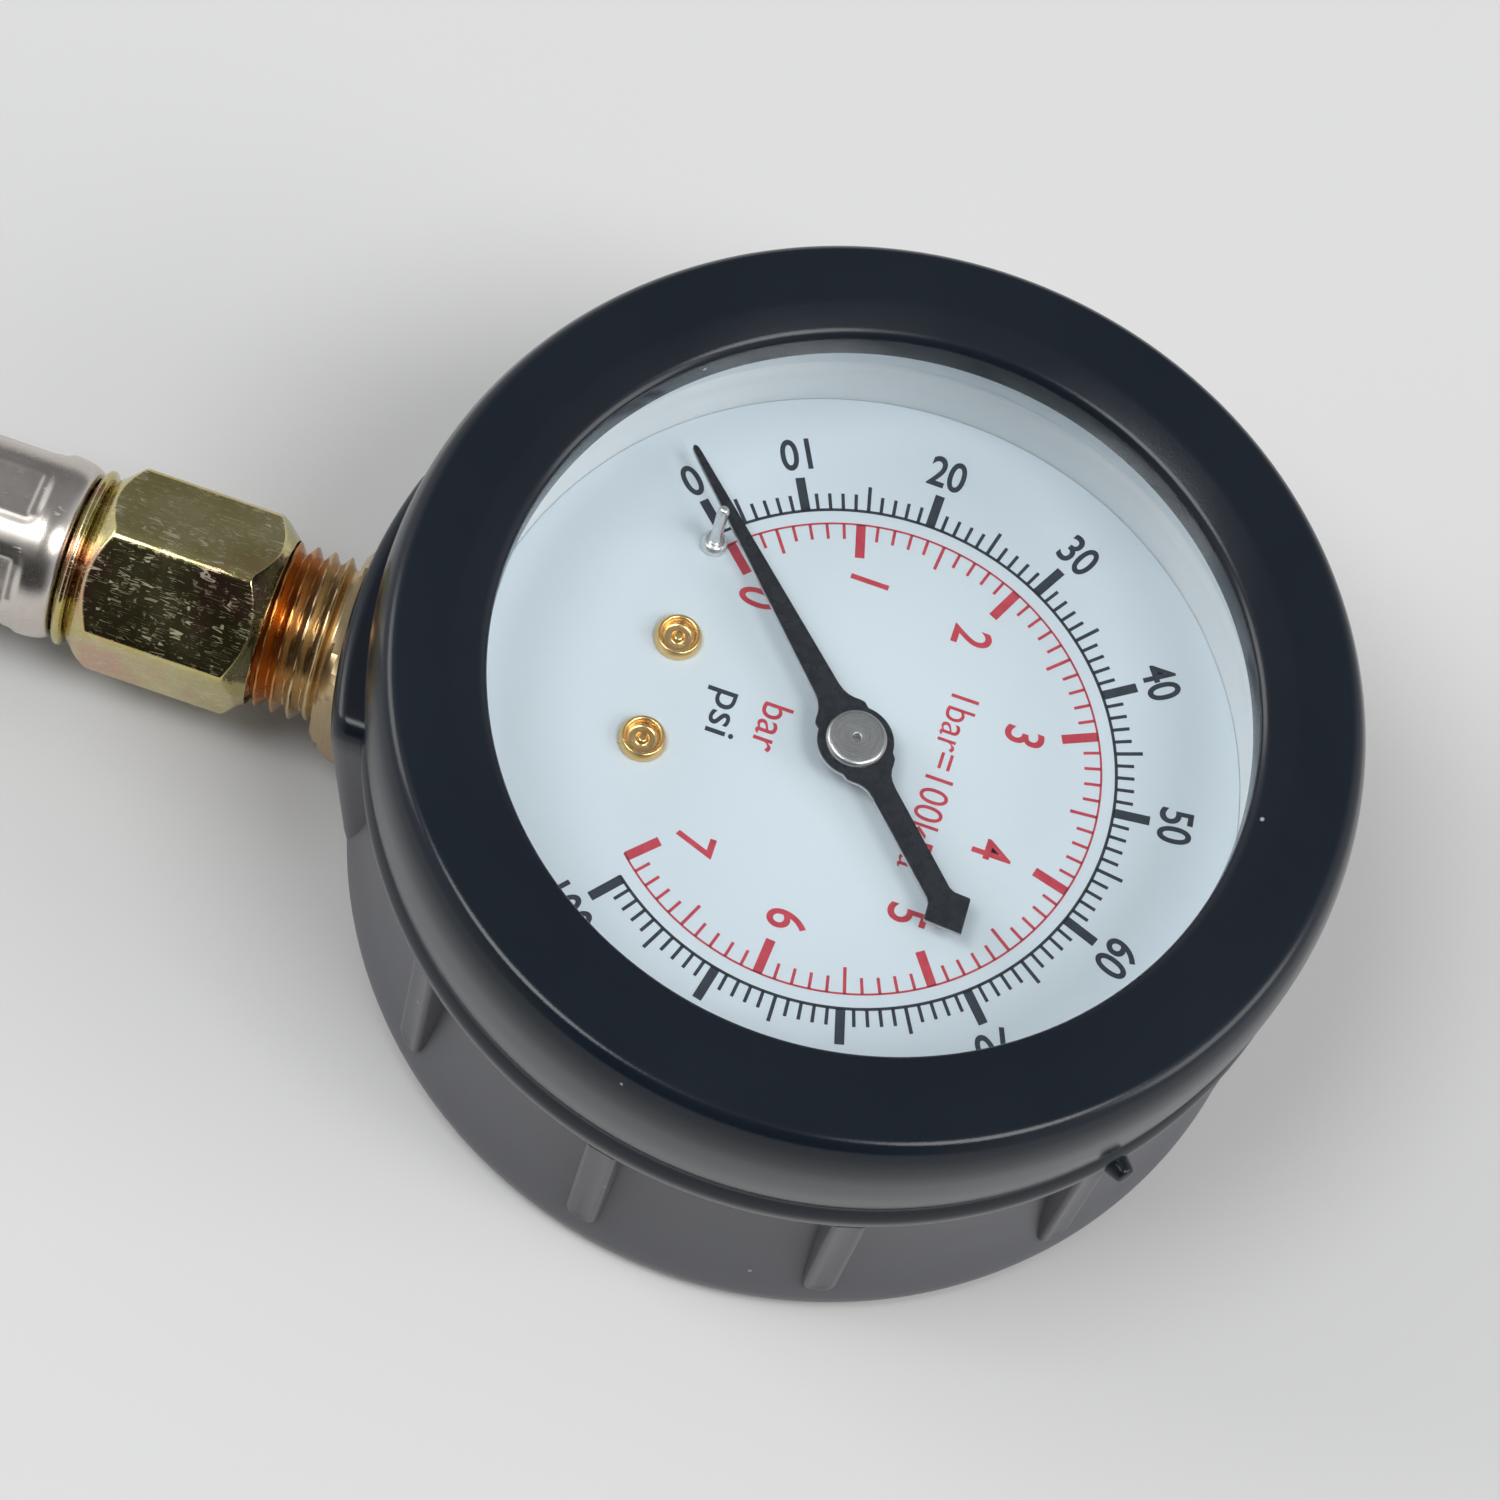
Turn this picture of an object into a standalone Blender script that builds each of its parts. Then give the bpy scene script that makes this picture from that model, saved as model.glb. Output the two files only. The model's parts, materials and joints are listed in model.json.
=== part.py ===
"""Bourdon-tube pressure gauge in a rubber boot, with a crimped hose fitting on its stem.

The gauge lies on its back. +Z is the dial's outward normal, the stem leaves along -Y and
+X points to three o'clock. The origin is the centre of the boot's flat back.
"""
import math

import bmesh
import bpy
from mathutils import Matrix, Vector

MM = 0.001                      # every size below is in millimetres
GAP = 0.3                       # space kept between resting pieces
FINE = 0.1                      # space kept between small movement pieces
RING_STEPS = 64
SMALL_STEPS = 20

# Heights above the boot's back
BOOT_FLOOR = 2.6
CASE_BACK = BOOT_FLOOR + GAP
SHEET = 0.8                     # wall of the drawn case and of the bezel
CASE_FLOOR = CASE_BACK + SHEET
STEM_HEIGHT = 11.0
DIAL_TOP = 22.0
DIAL_THICKNESS = 0.5
CASE_RIM = 29.3
WINDOW_BOTTOM = 30.7
WINDOW_TOP = 33.2
BOOT_TOP = 37.4

# Radii about the dial's axis
DIAL_RADIUS = 30.8
SPACER_INNER = 31.1
CASE_INNER = 31.75
CASE_OUTER = CASE_INNER + 0.75
BEZEL_OUTER = 34.3
BOOT_LIP = 29.3
BOOT_OUTER = 38.0
SKIRT_TOP = 35.6
SKIRT_FOOT = 37.7

# Boot details
RIB_COUNT = 12
RIB_PHASE = 17.3                # degrees from +X
RIB_WIDTH = 2.8
RIB_OUTER = 37.6
RIB_LOW = 4.2
COLLAR_OUTER = 40.1
OPENING_HALF = 9.5

# Stem and hose fitting: distances along -Y from the dial's axis
SQUARE = 14.0
STEM_INNER = 12.5
STEP = 18.9
THREAD_START = 41.0
THREAD_END = 55.6
THREAD_PITCH = 1.411
THREAD_RADIUS = 6.95            # crest at the start of the taper
THREAD_TAPER = 1.0 / 32.0
THREAD_DEPTH = 0.85
STEM_BORE = 2.2
NUT_START = 46.6
NUT_END = 61.6
NUT_FLATS = 15.0
NUT_CORNER_ANGLE = 24.5         # degrees from +X
FERRULE_START = 63.1
FERRULE_END = 91.0
FERRULE_RADIUS = 7.45
FERRULE_BORE = 6.3
PANEL_COUNT = 6
PANEL_PHASE = 35.0              # degrees from +X to the middle of a pressed flat
PANEL_DEPTH = 0.6

# Movement
POINTER_ANGLE = 224.5           # degrees from +X, at rest
POINTER_TIP = 27.6
POINTER_TAIL = 17.4
POINTER_BOTTOM = 24.2
POINTER_SHEET = 0.5
PINION_TEETH = 15
SECTOR_TEETH = 120              # teeth of the full circle that the sector is part of
MODULE = 0.2
SECTOR_SWING = 33.75            # degrees of sector for 270 degrees of pointer
SECTOR_AZIMUTH = -32.0
TAIL_ARM = 6.5
TAIL_ANGLE = -38.6              # degrees from +X, at rest
LINK_LENGTH = 7.0
LINK_ANGLE = 67.66              # keeps the link's length equal at both ends of the travel
BACK_PLATE = 12.0
FRONT_PLATE = 18.6
PLATE_SHEET = 1.0
SECTOR_HEIGHT = 16.4
LINK_HEIGHT = 15.4
TUBE_RADIUS = 23.0
TUBE_HALF_WIDTH = 1.5
TUBE_HALF_HEIGHT = 4.0
TUBE_WALL = 0.45
TUBE_ROOT = 250.0               # degrees from +X, where the tube leaves the socket
TUBE_ARC = 260.0
SCREW_X = 4.55
SCREW_Y = -15.6
STOP_RADIUS = 20.3
STOP_ANGLE = 229.2
CASE_SCREW_ANGLE = 19.0         # degrees either side of the stem

RUBBER = ("black_rubber", (0.012, 0.014, 0.018), 0.45, 0.0)
STEEL = ("pressed_steel", (0.42, 0.43, 0.44), 0.35, 1.0)
BRASS = ("brass", (0.72, 0.50, 0.22), 0.3, 1.0)
GLASS = ("clear_glass", (0.85, 0.92, 0.95), 0.05, 0.0)
GREY = ("grey_plastic", (0.55, 0.58, 0.60), 0.6, 0.0)
WHITE = ("white_enamel", (0.80, 0.86, 0.90), 0.4, 0.0)
BLACK = ("black_paint", (0.01, 0.012, 0.015), 0.4, 0.0)
NICKEL = ("bright_nickel", (0.75, 0.75, 0.76), 0.25, 1.0)
BRONZE = ("spring_bronze", (0.62, 0.42, 0.22), 0.3, 1.0)
OLIVE = ("yellow_zinc", (0.45, 0.43, 0.20), 0.3, 1.0)


def make_collection(name):
    collection = bpy.data.collections.new(name)
    bpy.context.scene.collection.children.link(collection)
    return collection


def material(finish):
    name, colour, roughness, metallic = finish
    found = bpy.data.materials.get(name)
    if found:
        return found
    made = bpy.data.materials.new(name)
    made.use_nodes = True
    shader = made.node_tree.nodes["Principled BSDF"]
    shader.inputs["Base Color"].default_value = (*colour, 1.0)
    shader.inputs["Roughness"].default_value = roughness
    shader.inputs["Metallic"].default_value = metallic
    return made


def polar(radius, degrees, height=0.0):
    angle = math.radians(degrees)
    return Vector((radius * math.cos(angle), radius * math.sin(angle), height))


def add_object(name, mesh, finish=None):
    obj = bpy.data.objects.new(name, mesh)
    if finish:
        mesh.materials.append(material(finish))
        PARTS.objects.link(obj)
    else:
        CUTTERS.objects.link(obj)
        obj.hide_render = True
        obj.display_type = "WIRE"
    return obj


def mesh_from(name, bm):
    bmesh.ops.scale(bm, vec=(MM, MM, MM), verts=bm.verts)
    mesh = bpy.data.meshes.new(name)
    bm.to_mesh(mesh)
    bm.free()
    return mesh


def turned(name, outline, finish=None, steps=RING_STEPS, degrees=360.0):
    """Turn an outline of (radius, height) points that runs down its outer side."""
    closed = outline[0][0] > 0.0 or outline[-1][0] > 0.0
    bm = bmesh.new()
    points = [bm.verts.new((radius, 0.0, height)) for radius, height in outline]
    for first, second in zip(points, points[1:]):
        bm.edges.new((first, second))
    if closed:
        bm.edges.new((points[-1], points[0]))
    obj = add_object(name, mesh_from(name, bm), finish)
    screw = obj.modifiers.new("turn", "SCREW")
    screw.angle = math.radians(degrees)
    screw.steps = steps
    screw.render_steps = steps
    screw.use_merge_vertices = True
    screw.merge_threshold = 0.000005
    screw.use_smooth_shade = True
    return obj


def disc(name, radius, low, high, finish=None, steps=SMALL_STEPS):
    """A plain cylinder on the Z axis."""
    return turned(name, [(0.0, high), (radius, high), (radius, low), (0.0, low)], finish, steps)


def prism(name, outline, low, high, finish=None):
    """Extrude a flat outline of (x, y) points, given anticlockwise, from low to high."""
    bm = bmesh.new()
    face = bm.faces.new([bm.verts.new((x, y, low)) for x, y in outline])
    made = bmesh.ops.extrude_face_region(bm, geom=[face])
    top = [item for item in made["geom"] if isinstance(item, bmesh.types.BMVert)]
    bmesh.ops.translate(bm, vec=(0.0, 0.0, high - low), verts=top)
    bmesh.ops.recalc_face_normals(bm, faces=bm.faces)
    return add_object(name, mesh_from(name, bm), finish)


def block(name, low, high, finish=None):
    """A box between two corners."""
    bm = bmesh.new()
    bmesh.ops.create_cube(bm, size=1.0)
    size = Vector(high) - Vector(low)
    middle = (Vector(high) + Vector(low)) / 2.0
    bmesh.ops.scale(bm, vec=size, verts=bm.verts)
    bmesh.ops.translate(bm, vec=middle, verts=bm.verts)
    return add_object(name, mesh_from(name, bm), finish)


def place(obj, at, turn=(0.0, 0.0, 0.0)):
    obj.location = Vector(at) * MM
    obj.rotation_euler = [math.radians(angle) for angle in turn]
    return obj


def along_stem(obj):
    """Lay a piece made on +Z along the stem's axis, which runs towards -Y."""
    return place(obj, (0.0, 0.0, STEM_HEIGHT), (90.0, 0.0, 0.0))


def carve(obj, tool, operation="DIFFERENCE"):
    cut = obj.modifiers.new("cut_" + tool.name, "BOOLEAN")
    cut.operation = operation
    cut.object = tool
    cut.solver = "EXACT"


def round_edges(obj, width, segments=2):
    bevel = obj.modifiers.new("soft_edges", "BEVEL")
    bevel.width = width * MM
    bevel.segments = segments
    bevel.limit_method = "ANGLE"
    bevel.angle_limit = math.radians(40.0)


def ride_on(empty, pieces):
    """Hang pieces on an empty without moving them."""
    for piece in pieces:
        piece.parent = empty
        piece.matrix_parent_inverse = Matrix.Translation(-empty.location)


def joint_empty(name, at):
    empty = bpy.data.objects.new(name, None)
    empty.location = Vector(at) * MM
    PARTS.objects.link(empty)
    return empty


def arc_points(centre, radius, start, end, count):
    step = (end - start) / (count - 1)
    return [(centre[0] + radius * math.cos(math.radians(start + step * index)),
             centre[1] + radius * math.sin(math.radians(start + step * index)))
            for index in range(count)]


# Rubber boot

def rib_outline():
    """A rib seen from outside: straight sides, and a round end near the foot."""
    half = RIB_WIDTH / 2.0
    foot = arc_points((0.0, RIB_LOW + half), half, 180.0, 360.0, 7)
    return foot + [(half, 21.0), (-half, 21.0)]


def boot_ribs():
    """All the grip ribs as one tool, standing round the skirt and clear of the stem."""
    bm = bmesh.new()
    for index in range(RIB_COUNT):
        azimuth = RIB_PHASE + index * 360.0 / RIB_COUNT
        from_stem = abs((azimuth - 270.0 + 180.0) % 360.0 - 180.0)
        if from_stem < 20.0:
            continue
        frame = Matrix.Rotation(math.radians(azimuth + 90.0), 4, "Z")
        corners = [bm.verts.new(frame @ Vector((x, -33.6, z))) for x, z in rib_outline()]
        made = bmesh.ops.extrude_face_region(bm, geom=[bm.faces.new(corners)])
        outer = [item for item in made["geom"] if isinstance(item, bmesh.types.BMVert)]
        bmesh.ops.translate(bm, vec=frame @ Vector((0.0, 33.6 - RIB_OUTER, 0.0)), verts=outer)
    bmesh.ops.recalc_face_normals(bm, faces=bm.faces)
    return add_object("boot_ribs_tool", mesh_from("boot_ribs_tool", bm))


def stem_collar():
    """The raised rubber collar round the stem's opening, as a wedge of a thick ring."""
    half = math.degrees(math.asin(12.4 / COLLAR_OUTER))
    outer = arc_points((0.0, 0.0), COLLAR_OUTER, 270.0 - half, 270.0 + half, 9)
    inner = arc_points((0.0, 0.0), 34.2, 270.0 + half, 270.0 - half, 9)
    collar = prism("boot_collar_tool", outer + inner, 1.6, 23.9)
    round_edges(collar, 0.8, 1)
    return collar


def stem_opening():
    opening = block("boot_opening_tool", (-OPENING_HALF, -45.0, 3.0), (OPENING_HALF, -27.0, 19.2))
    round_edges(opening, 2.5, 3)
    return opening


def rubber_boot():
    outline = [(0.0, BOOT_FLOOR), (32.8, BOOT_FLOOR), (32.8, 23.7), (34.6, 23.7), (34.6, 34.5),
               (29.9, 34.5), (29.9, WINDOW_TOP + GAP), (BOOT_LIP, WINDOW_TOP + GAP),
               (BOOT_LIP, 36.1), (29.7, 36.5), (32.1, 37.1), (33.4, BOOT_TOP), (35.8, BOOT_TOP),
               (36.7, 37.15), (37.4, 36.5), (37.9, 35.2), (BOOT_OUTER, 33.0), (37.8, 27.5), (37.5, 25.0),
               (37.25, 24.2), (37.7, 23.4), (37.85, 22.4), (37.5, 21.0), (36.7, 20.2),
               (SKIRT_TOP, 20.4), (SKIRT_TOP + 0.1, 16.5), (36.1, 11.5), (36.8, 7.0),
               (37.5, 3.6), (SKIRT_FOOT, 2.2), (37.4, 0.9), (36.3, 0.0), (0.0, 0.0)]
    boot = turned("rubber_boot", outline, RUBBER)
    carve(boot, boot_ribs(), "UNION")
    carve(boot, stem_collar(), "UNION")
    carve(boot, stem_opening())
    for side in (-1, 1):
        pocket = disc(f"boot_pocket_tool_{side}", 2.8, 30.0, 34.8, steps=12)
        azimuth = 270.0 + side * CASE_SCREW_ANGLE
        place(pocket, (0.0, 0.0, STEM_HEIGHT), (90.0, 0.0, azimuth - 270.0))
        carve(boot, pocket)


# Case, bezel and window

def case_cup():
    outline = [(0.0, CASE_FLOOR), (30.4, CASE_FLOOR), (CASE_INNER, 5.05), (CASE_INNER, CASE_RIM),
               (33.2, CASE_RIM), (33.2, CASE_RIM - SHEET), (CASE_OUTER, CASE_RIM - SHEET),
               (CASE_OUTER, 4.7), (30.7, CASE_BACK), (0.0, CASE_BACK)]
    cup = turned("case_cup", outline, STEEL)
    half = SQUARE / 2.0 + GAP
    carve(cup, block("case_opening_tool", (-half, -36.0, 3.9), (half, -27.0, 18.3)))
    for side in (-1, 1):
        hole = disc(f"case_hole_tool_{side}", 1.6, 29.0, 34.0, steps=12)
        place(hole, (0.0, 0.0, STEM_HEIGHT), (90.0, 0.0, side * CASE_SCREW_ANGLE))
        carve(cup, hole)
    vent = disc("case_vent_tool", 4.0, 0.0, 6.0, steps=16)
    carve(cup, place(vent, (0.0, 12.0, 0.0)))


def blowout_plug():
    plug = turned("blowout_plug", [(0.0, 4.8), (5.2, 4.8), (5.2, 4.0), (3.7, 4.0), (3.7, 2.95),
                                   (0.0, 2.95)], RUBBER, SMALL_STEPS)
    place(plug, (0.0, 12.0, 0.0))


def case_screws():
    for side, name in ((-1, "case_screw_left"), (1, "case_screw_right")):
        outline = [(0.0, 34.3), (1.4, 34.25), (2.3, 33.7), (2.3, 32.85), (1.25, 32.85),
                   (1.25, 27.6), (0.0, 27.6)]
        screw = turned(name, outline, STEEL, 16)
        place(screw, (0.0, 0.0, STEM_HEIGHT), (90.0, 0.0, side * CASE_SCREW_ANGLE))
        slot = block(name + "_slot_tool", (-0.3, -3.0, 33.7), (0.3, 3.0, 35.0))
        place(slot, (0.0, 0.0, STEM_HEIGHT), (90.0, 0.0, side * CASE_SCREW_ANGLE))
        carve(screw, slot)


def bezel_ring():
    lip = WINDOW_TOP + GAP
    inner = BEZEL_OUTER - SHEET
    turned("bezel_ring", [(30.2, lip + 0.7), (33.6, lip + 0.7), (BEZEL_OUTER, lip),
                          (BEZEL_OUTER, 24.0), (32.9, 24.0), (32.9, 24.8), (inner, 24.8),
                          (inner, lip), (30.2, lip)], STEEL)


def window():
    disc("window_glass", 33.1, WINDOW_BOTTOM, WINDOW_TOP, GLASS, RING_STEPS)
    turned("window_gasket", [(30.5, 30.4), (33.1, 30.4), (33.1, 29.6), (31.4, 29.6),
                             (31.4, 28.2), (30.5, 28.2)], GREY, 48)
    turned("spacer_ring", [(SPACER_INNER, 27.9), (31.45, 27.9), (31.45, 21.0),
                           (SPACER_INNER, 21.0)], GREY, 48)


# Dial

def dial_plate():
    plate = disc("dial_plate", DIAL_RADIUS, DIAL_TOP - DIAL_THICKNESS, DIAL_TOP, WHITE, 48)
    holes = (((0.0, 0.0), 2.0), ((SCREW_X, SCREW_Y), 1.35), ((-SCREW_X, SCREW_Y), 1.35),
             (tuple(polar(STOP_RADIUS, STOP_ANGLE))[:2], 0.6))
    for index, (centre, radius) in enumerate(holes):
        tool = disc(f"dial_hole_tool_{index}", radius, 20.0, 24.0, steps=12)
        carve(plate, place(tool, (*centre, 0.0)))


def dial_screws():
    """Dished brass screws: a rim round a shallow cup."""
    for side, name in ((-1, "dial_screw_left"), (1, "dial_screw_right")):
        outline = [(0.0, 22.3), (0.55, 22.35), (1.25, 22.5), (1.5, 22.95), (1.75, 22.95),
                   (1.87, 22.7), (1.87, 22.05), (1.1, 22.05), (1.1, 20.3), (0.0, 20.3)]
        place(turned(name, outline, BRASS, SMALL_STEPS), (side * SCREW_X, SCREW_Y, 0.0))


def stop_pin():
    outline = [(0.0, 28.4), (0.3, 28.3), (0.46, 28.0), (0.46, 22.75), (0.8, 22.85), (1.08, 22.5),
               (1.08, 22.05), (0.46, 22.05), (0.46, 20.9), (0.0, 20.9)]
    place(turned("stop_pin", outline, NICKEL, 16), polar(STOP_RADIUS, STOP_ANGLE))


# Pointer and its spindle

def pointer_outline():
    """A slim tapered pointer with a round boss and an arrow-shaped tail, along +X."""
    boss = 3.0
    upper = [(POINTER_TIP, 0.0), (POINTER_TIP - 0.2, 0.2), (POINTER_TIP - 0.5, 0.27), (4.6, 1.08)]
    upper += [(3.7, 1.3), (3.0, 1.75)]
    upper += arc_points((0.0, 0.0), boss, 45.0, 135.0, 7)
    upper += [(-3.0, 1.75), (-3.6, 1.25), (-4.4, 1.0), (-13.7, 1.0), (-14.9, 2.0)]
    lower = [(x, -y) for x, y in reversed(upper[1:])]
    return upper + [(-POINTER_TAIL, 0.0)] + lower


def pointer_group():
    pointer = prism("pointer", pointer_outline(), POINTER_BOTTOM, POINTER_BOTTOM + POINTER_SHEET,
                    BLACK)
    bore = disc("pointer_bore_tool", 1.6, 23.0, 26.0, steps=SMALL_STEPS)
    carve(pointer, bore)
    pointer.rotation_euler.z = math.radians(POINTER_ANGLE)
    hub = turned("pointer_hub", [(0.28, 25.35), (2.1, 25.35), (2.4, 25.1), (2.4, 24.8),
                                 (1.5, 24.8), (1.5, 22.5), (0.68, 22.5), (0.68, 25.0),
                                 (0.28, 25.0)], NICKEL, 24)
    spindle = joint_empty("pointer_spindle", (0.0, 0.0, 0.0))
    ride_on(spindle, [pointer, hub, pinion_arbor(), hairspring_collet()])


def gear_teeth(teeth, first, last, phase):
    """Tooth outline points, as (radius, degrees), for the teeth numbered first to last."""
    pitch = 360.0 / teeth
    middle = teeth * MODULE / 2.0
    tip = middle + 0.9 * MODULE
    root = middle - 1.15 * MODULE
    points = []
    for index in range(first, last + 1):
        centre = phase + index * pitch
        points += [(root, centre - 0.30 * pitch), (tip, centre - 0.11 * pitch),
                   (tip, centre + 0.11 * pitch), (root, centre + 0.30 * pitch)]
    return points


def as_xy(points):
    return [(radius * math.cos(math.radians(degrees)), radius * math.sin(math.radians(degrees)))
            for radius, degrees in points]


def sector_axis():
    distance = (PINION_TEETH + SECTOR_TEETH) * MODULE / 2.0
    return polar(distance, SECTOR_AZIMUTH)


def pinion_arbor():
    """Spindle with the pinion cut on it. A gap between its teeth faces the sector's middle."""
    arbor = turned("pinion_arbor", [(0.0, 24.7), (0.6, 24.7), (0.6, 13.1), (0.4, 13.1),
                                    (0.4, 11.9), (0.0, 11.9)], STEEL, 12)
    pitch = 360.0 / PINION_TEETH
    outline = as_xy(gear_teeth(PINION_TEETH, 0, PINION_TEETH - 1, SECTOR_AZIMUTH + pitch / 2.0))
    carve(arbor, prism("pinion_tool", outline, 15.7, 18.2), "UNION")
    return arbor


def hairspring_collet():
    return turned("hairspring_collet", [(0.7, 14.6), (1.15, 14.6), (1.15, 13.7), (0.7, 13.7)],
                  BRASS, 16)


def hairspring():
    """A flat spiral spring, from the collet out to its stud."""
    turns = 3.0
    count = int(turns * 16)
    curve = bpy.data.curves.new("hairspring", "CURVE")
    curve.dimensions = "3D"
    curve.bevel_depth = 0.11 * MM
    curve.bevel_resolution = 1
    curve.use_fill_caps = True
    spline = curve.splines.new("POLY")
    spline.points.add(count)
    for index in range(count + 1):
        share = index / count
        point = polar(1.4 + 3.2 * share, 200.0 + 360.0 * turns * share, 14.15) * MM
        spline.points[index].co = (*point, 1.0)
    obj = bpy.data.objects.new("hairspring", curve)
    curve.materials.append(material(BRONZE))
    PARTS.objects.link(obj)
    stud = disc("hairspring_stud", 0.5, 13.1, 15.0, BRASS, 12)
    place(stud, polar(5.25, 200.0))


# Movement

def plate_outline():
    return [(-6.5, -18.4), (6.5, -18.4), (15.0, -10.0), (15.0, -4.4), (4.6, 5.0), (-4.6, 5.0),
            (-7.0, 1.0)]


def movement_plate(name, low):
    plate = prism(name, plate_outline(), low, low + PLATE_SHEET, BRASS)
    pillar = (-5.2, -4.4)
    pivot_radius = 0.75 if low > BACK_PLATE else 0.5
    holes = (((0.0, 0.0), pivot_radius), (tuple(sector_axis())[:2], 0.6), (pillar, 0.9),
             ((SCREW_X, SCREW_Y), 1.15), ((-SCREW_X, SCREW_Y), 1.15))
    for index, (centre, radius) in enumerate(holes):
        tool = disc(f"{name}_hole_tool_{index}", radius, low - 1.0, low + 2.0, steps=12)
        carve(plate, place(tool, (*centre, 0.0)))


def movement_frame():
    movement_plate("movement_back_plate", BACK_PLATE)
    movement_plate("movement_front_plate", FRONT_PLATE)
    low = BACK_PLATE + PLATE_SHEET + FINE
    high = FRONT_PLATE - FINE
    top = FRONT_PLATE + PLATE_SHEET
    pillar = turned("movement_pillar", [(0.0, top), (0.8, top), (0.8, high), (1.4, high),
                                        (1.4, low), (0.8, low), (0.8, BACK_PLATE),
                                        (0.0, BACK_PLATE)], BRASS, 16)
    place(pillar, (-5.2, -4.4, 0.0))
    for side, word in ((-1, "left"), (1, "right")):
        at = (side * SCREW_X, SCREW_Y, 0.0)
        sleeve = turned("movement_sleeve_" + word, [(1.2, high), (1.9, high), (1.9, low),
                                                    (1.2, low)], BRASS, 16)
        stud = turned("movement_stud_" + word,
                      [(0.0, 20.1), (1.25, 20.1), (1.25, 21.3), (2.2, 21.3), (2.2, top + FINE),
                       (1.0, top + FINE), (1.0, 8.0), (0.0, 8.0)], BRASS, 16)
        place(sleeve, at)
        place(stud, at)


def sector_outline():
    """The sector about its own pivot at rest, anticlockwise: teeth, hub and tail arm."""
    pitch = 360.0 / SECTOR_TEETH
    facing = SECTOR_AZIMUTH + 180.0
    outline = as_xy(gear_teeth(SECTOR_TEETH, -13, 3, facing))
    hub = 2.2
    hub_start = facing + 4.0 * pitch
    tail = (TAIL_ARM * math.cos(math.radians(TAIL_ANGLE)),
            TAIL_ARM * math.sin(math.radians(TAIL_ANGLE)))
    outline += arc_points((0.0, 0.0), hub, hub_start + 25.0, TAIL_ANGLE + 325.0, 8)
    outline += arc_points(tail, 1.3, TAIL_ANGLE + 270.0, TAIL_ANGLE + 450.0, 9)
    outline += arc_points((0.0, 0.0), hub, TAIL_ANGLE + 395.0, facing - 14.0 * pitch + 335.0, 5)
    return outline


def sector_group():
    pivot = sector_axis()
    low = SECTOR_HEIGHT
    tail = polar(TAIL_ARM, TAIL_ANGLE)
    sector = prism("sector_gear", sector_outline(), low, low + 0.8, BRASS)
    tools = ((disc("sector_bore_tool", 0.9, low - 1.0, low + 2.0, steps=12), pivot),
             (disc("sector_pin_tool", 0.55, low - 1.0, low + 2.0, steps=12), pivot + tail),
             (prism("sector_window_tool", sector_window(), low - 1.0, low + 2.0), pivot))
    for tool, at in tools:
        carve(sector, place(tool, at))
    arbor = turned("sector_arbor", [(0.0, 19.5), (0.5, 19.5), (0.5, 18.4), (0.8, 18.4),
                                    (0.8, 13.2), (0.5, 13.2), (0.5, 12.1), (0.0, 12.1)],
                   STEEL, 12)
    pin = disc("tail_pin", 0.45, 15.1, low + 1.1, STEEL, 12)
    for piece in (sector, arbor):
        piece.location = pivot * MM
    pin.location = (pivot + tail) * MM
    bpy.context.view_layer.update()
    ride_on(joint_empty("sector_pivot", pivot), [sector, arbor, pin])
    return pivot + tail


def sector_window():
    """The lightening hole between the sector's rim and its hub."""
    pitch = 360.0 / SECTOR_TEETH
    middle = SECTOR_AZIMUTH + 180.0 - 5.0 * pitch
    rim = arc_points((0.0, 0.0), 9.8, middle - 16.0, middle + 16.0, 7)
    root = arc_points((0.0, 0.0), 4.4, middle + 8.0, middle - 8.0, 3)
    return rim + root


# Link, tube and tip

def link_group(tail_pin):
    """The link from the sector's tail pin to the tip's pin. Its tail hole has play."""
    reach = polar(LINK_LENGTH, LINK_ANGLE)
    end = tail_pin + reach
    left = arc_points((0.0, 0.0), 1.35, LINK_ANGLE + 90.0, LINK_ANGLE + 270.0, 9)
    right = arc_points((reach.x, reach.y), 1.15, LINK_ANGLE - 90.0, LINK_ANGLE + 90.0, 9)
    link = prism("link_bar", left + right, LINK_HEIGHT, LINK_HEIGHT + 0.6, BRASS)
    carve(link, place(disc("link_tail_tool", 0.75, 14.0, 18.0, steps=12), tail_pin))
    carve(link, place(disc("link_tip_tool", 0.52, 14.0, 18.0, steps=12), end))
    link.location = tail_pin * MM
    pin = disc("tip_pin", 0.45, 14.45, 16.25, STEEL, 12)
    pin.location = end * MM
    return link, pin, end


def tube_tip(pin_at):
    """The block that closes the tube, with an arm that reaches in to the link."""
    last = TUBE_ROOT - TUBE_ARC
    centre = polar(TUBE_RADIUS, last)
    tangent = polar(1.0, last - 90.0)
    radial = polar(1.0, last)
    near = centre + tangent * FINE
    far = centre + tangent * 3.4
    half = TUBE_HALF_WIDTH + 0.3
    corners = [near - radial * half, far - radial * half, far + radial * half,
               near + radial * half]
    low = STEM_HEIGHT - TUBE_HALF_HEIGHT - 0.2
    high = STEM_HEIGHT + TUBE_HALF_HEIGHT - 0.1
    tip = prism("tube_tip", [(corner.x, corner.y) for corner in corners], low, high, BRASS)
    root = centre + tangent * 1.75
    towards = (pin_at - root).normalized()
    side = Vector((-towards.y, towards.x, 0.0)) * 1.2
    arm = [root - side, pin_at - side + towards * 1.1, pin_at + side + towards * 1.1, root + side]
    arm_tool = prism("tip_arm_tool", [(corner.x, corner.y) for corner in arm], 13.6, high - 0.1)
    carve(tip, arm_tool, "UNION")
    hole = disc("tip_hole_tool", 0.52, 14.35, 16.0, steps=12)
    carve(tip, place(hole, pin_at))
    return tip


def tip_axis():
    """The point that the tube's end turns about: the centroid of its arc."""
    half = math.radians(TUBE_ARC / 2.0)
    middle = TUBE_ROOT - TUBE_ARC / 2.0
    return polar(TUBE_RADIUS * math.sin(half) / half, middle)


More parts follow.
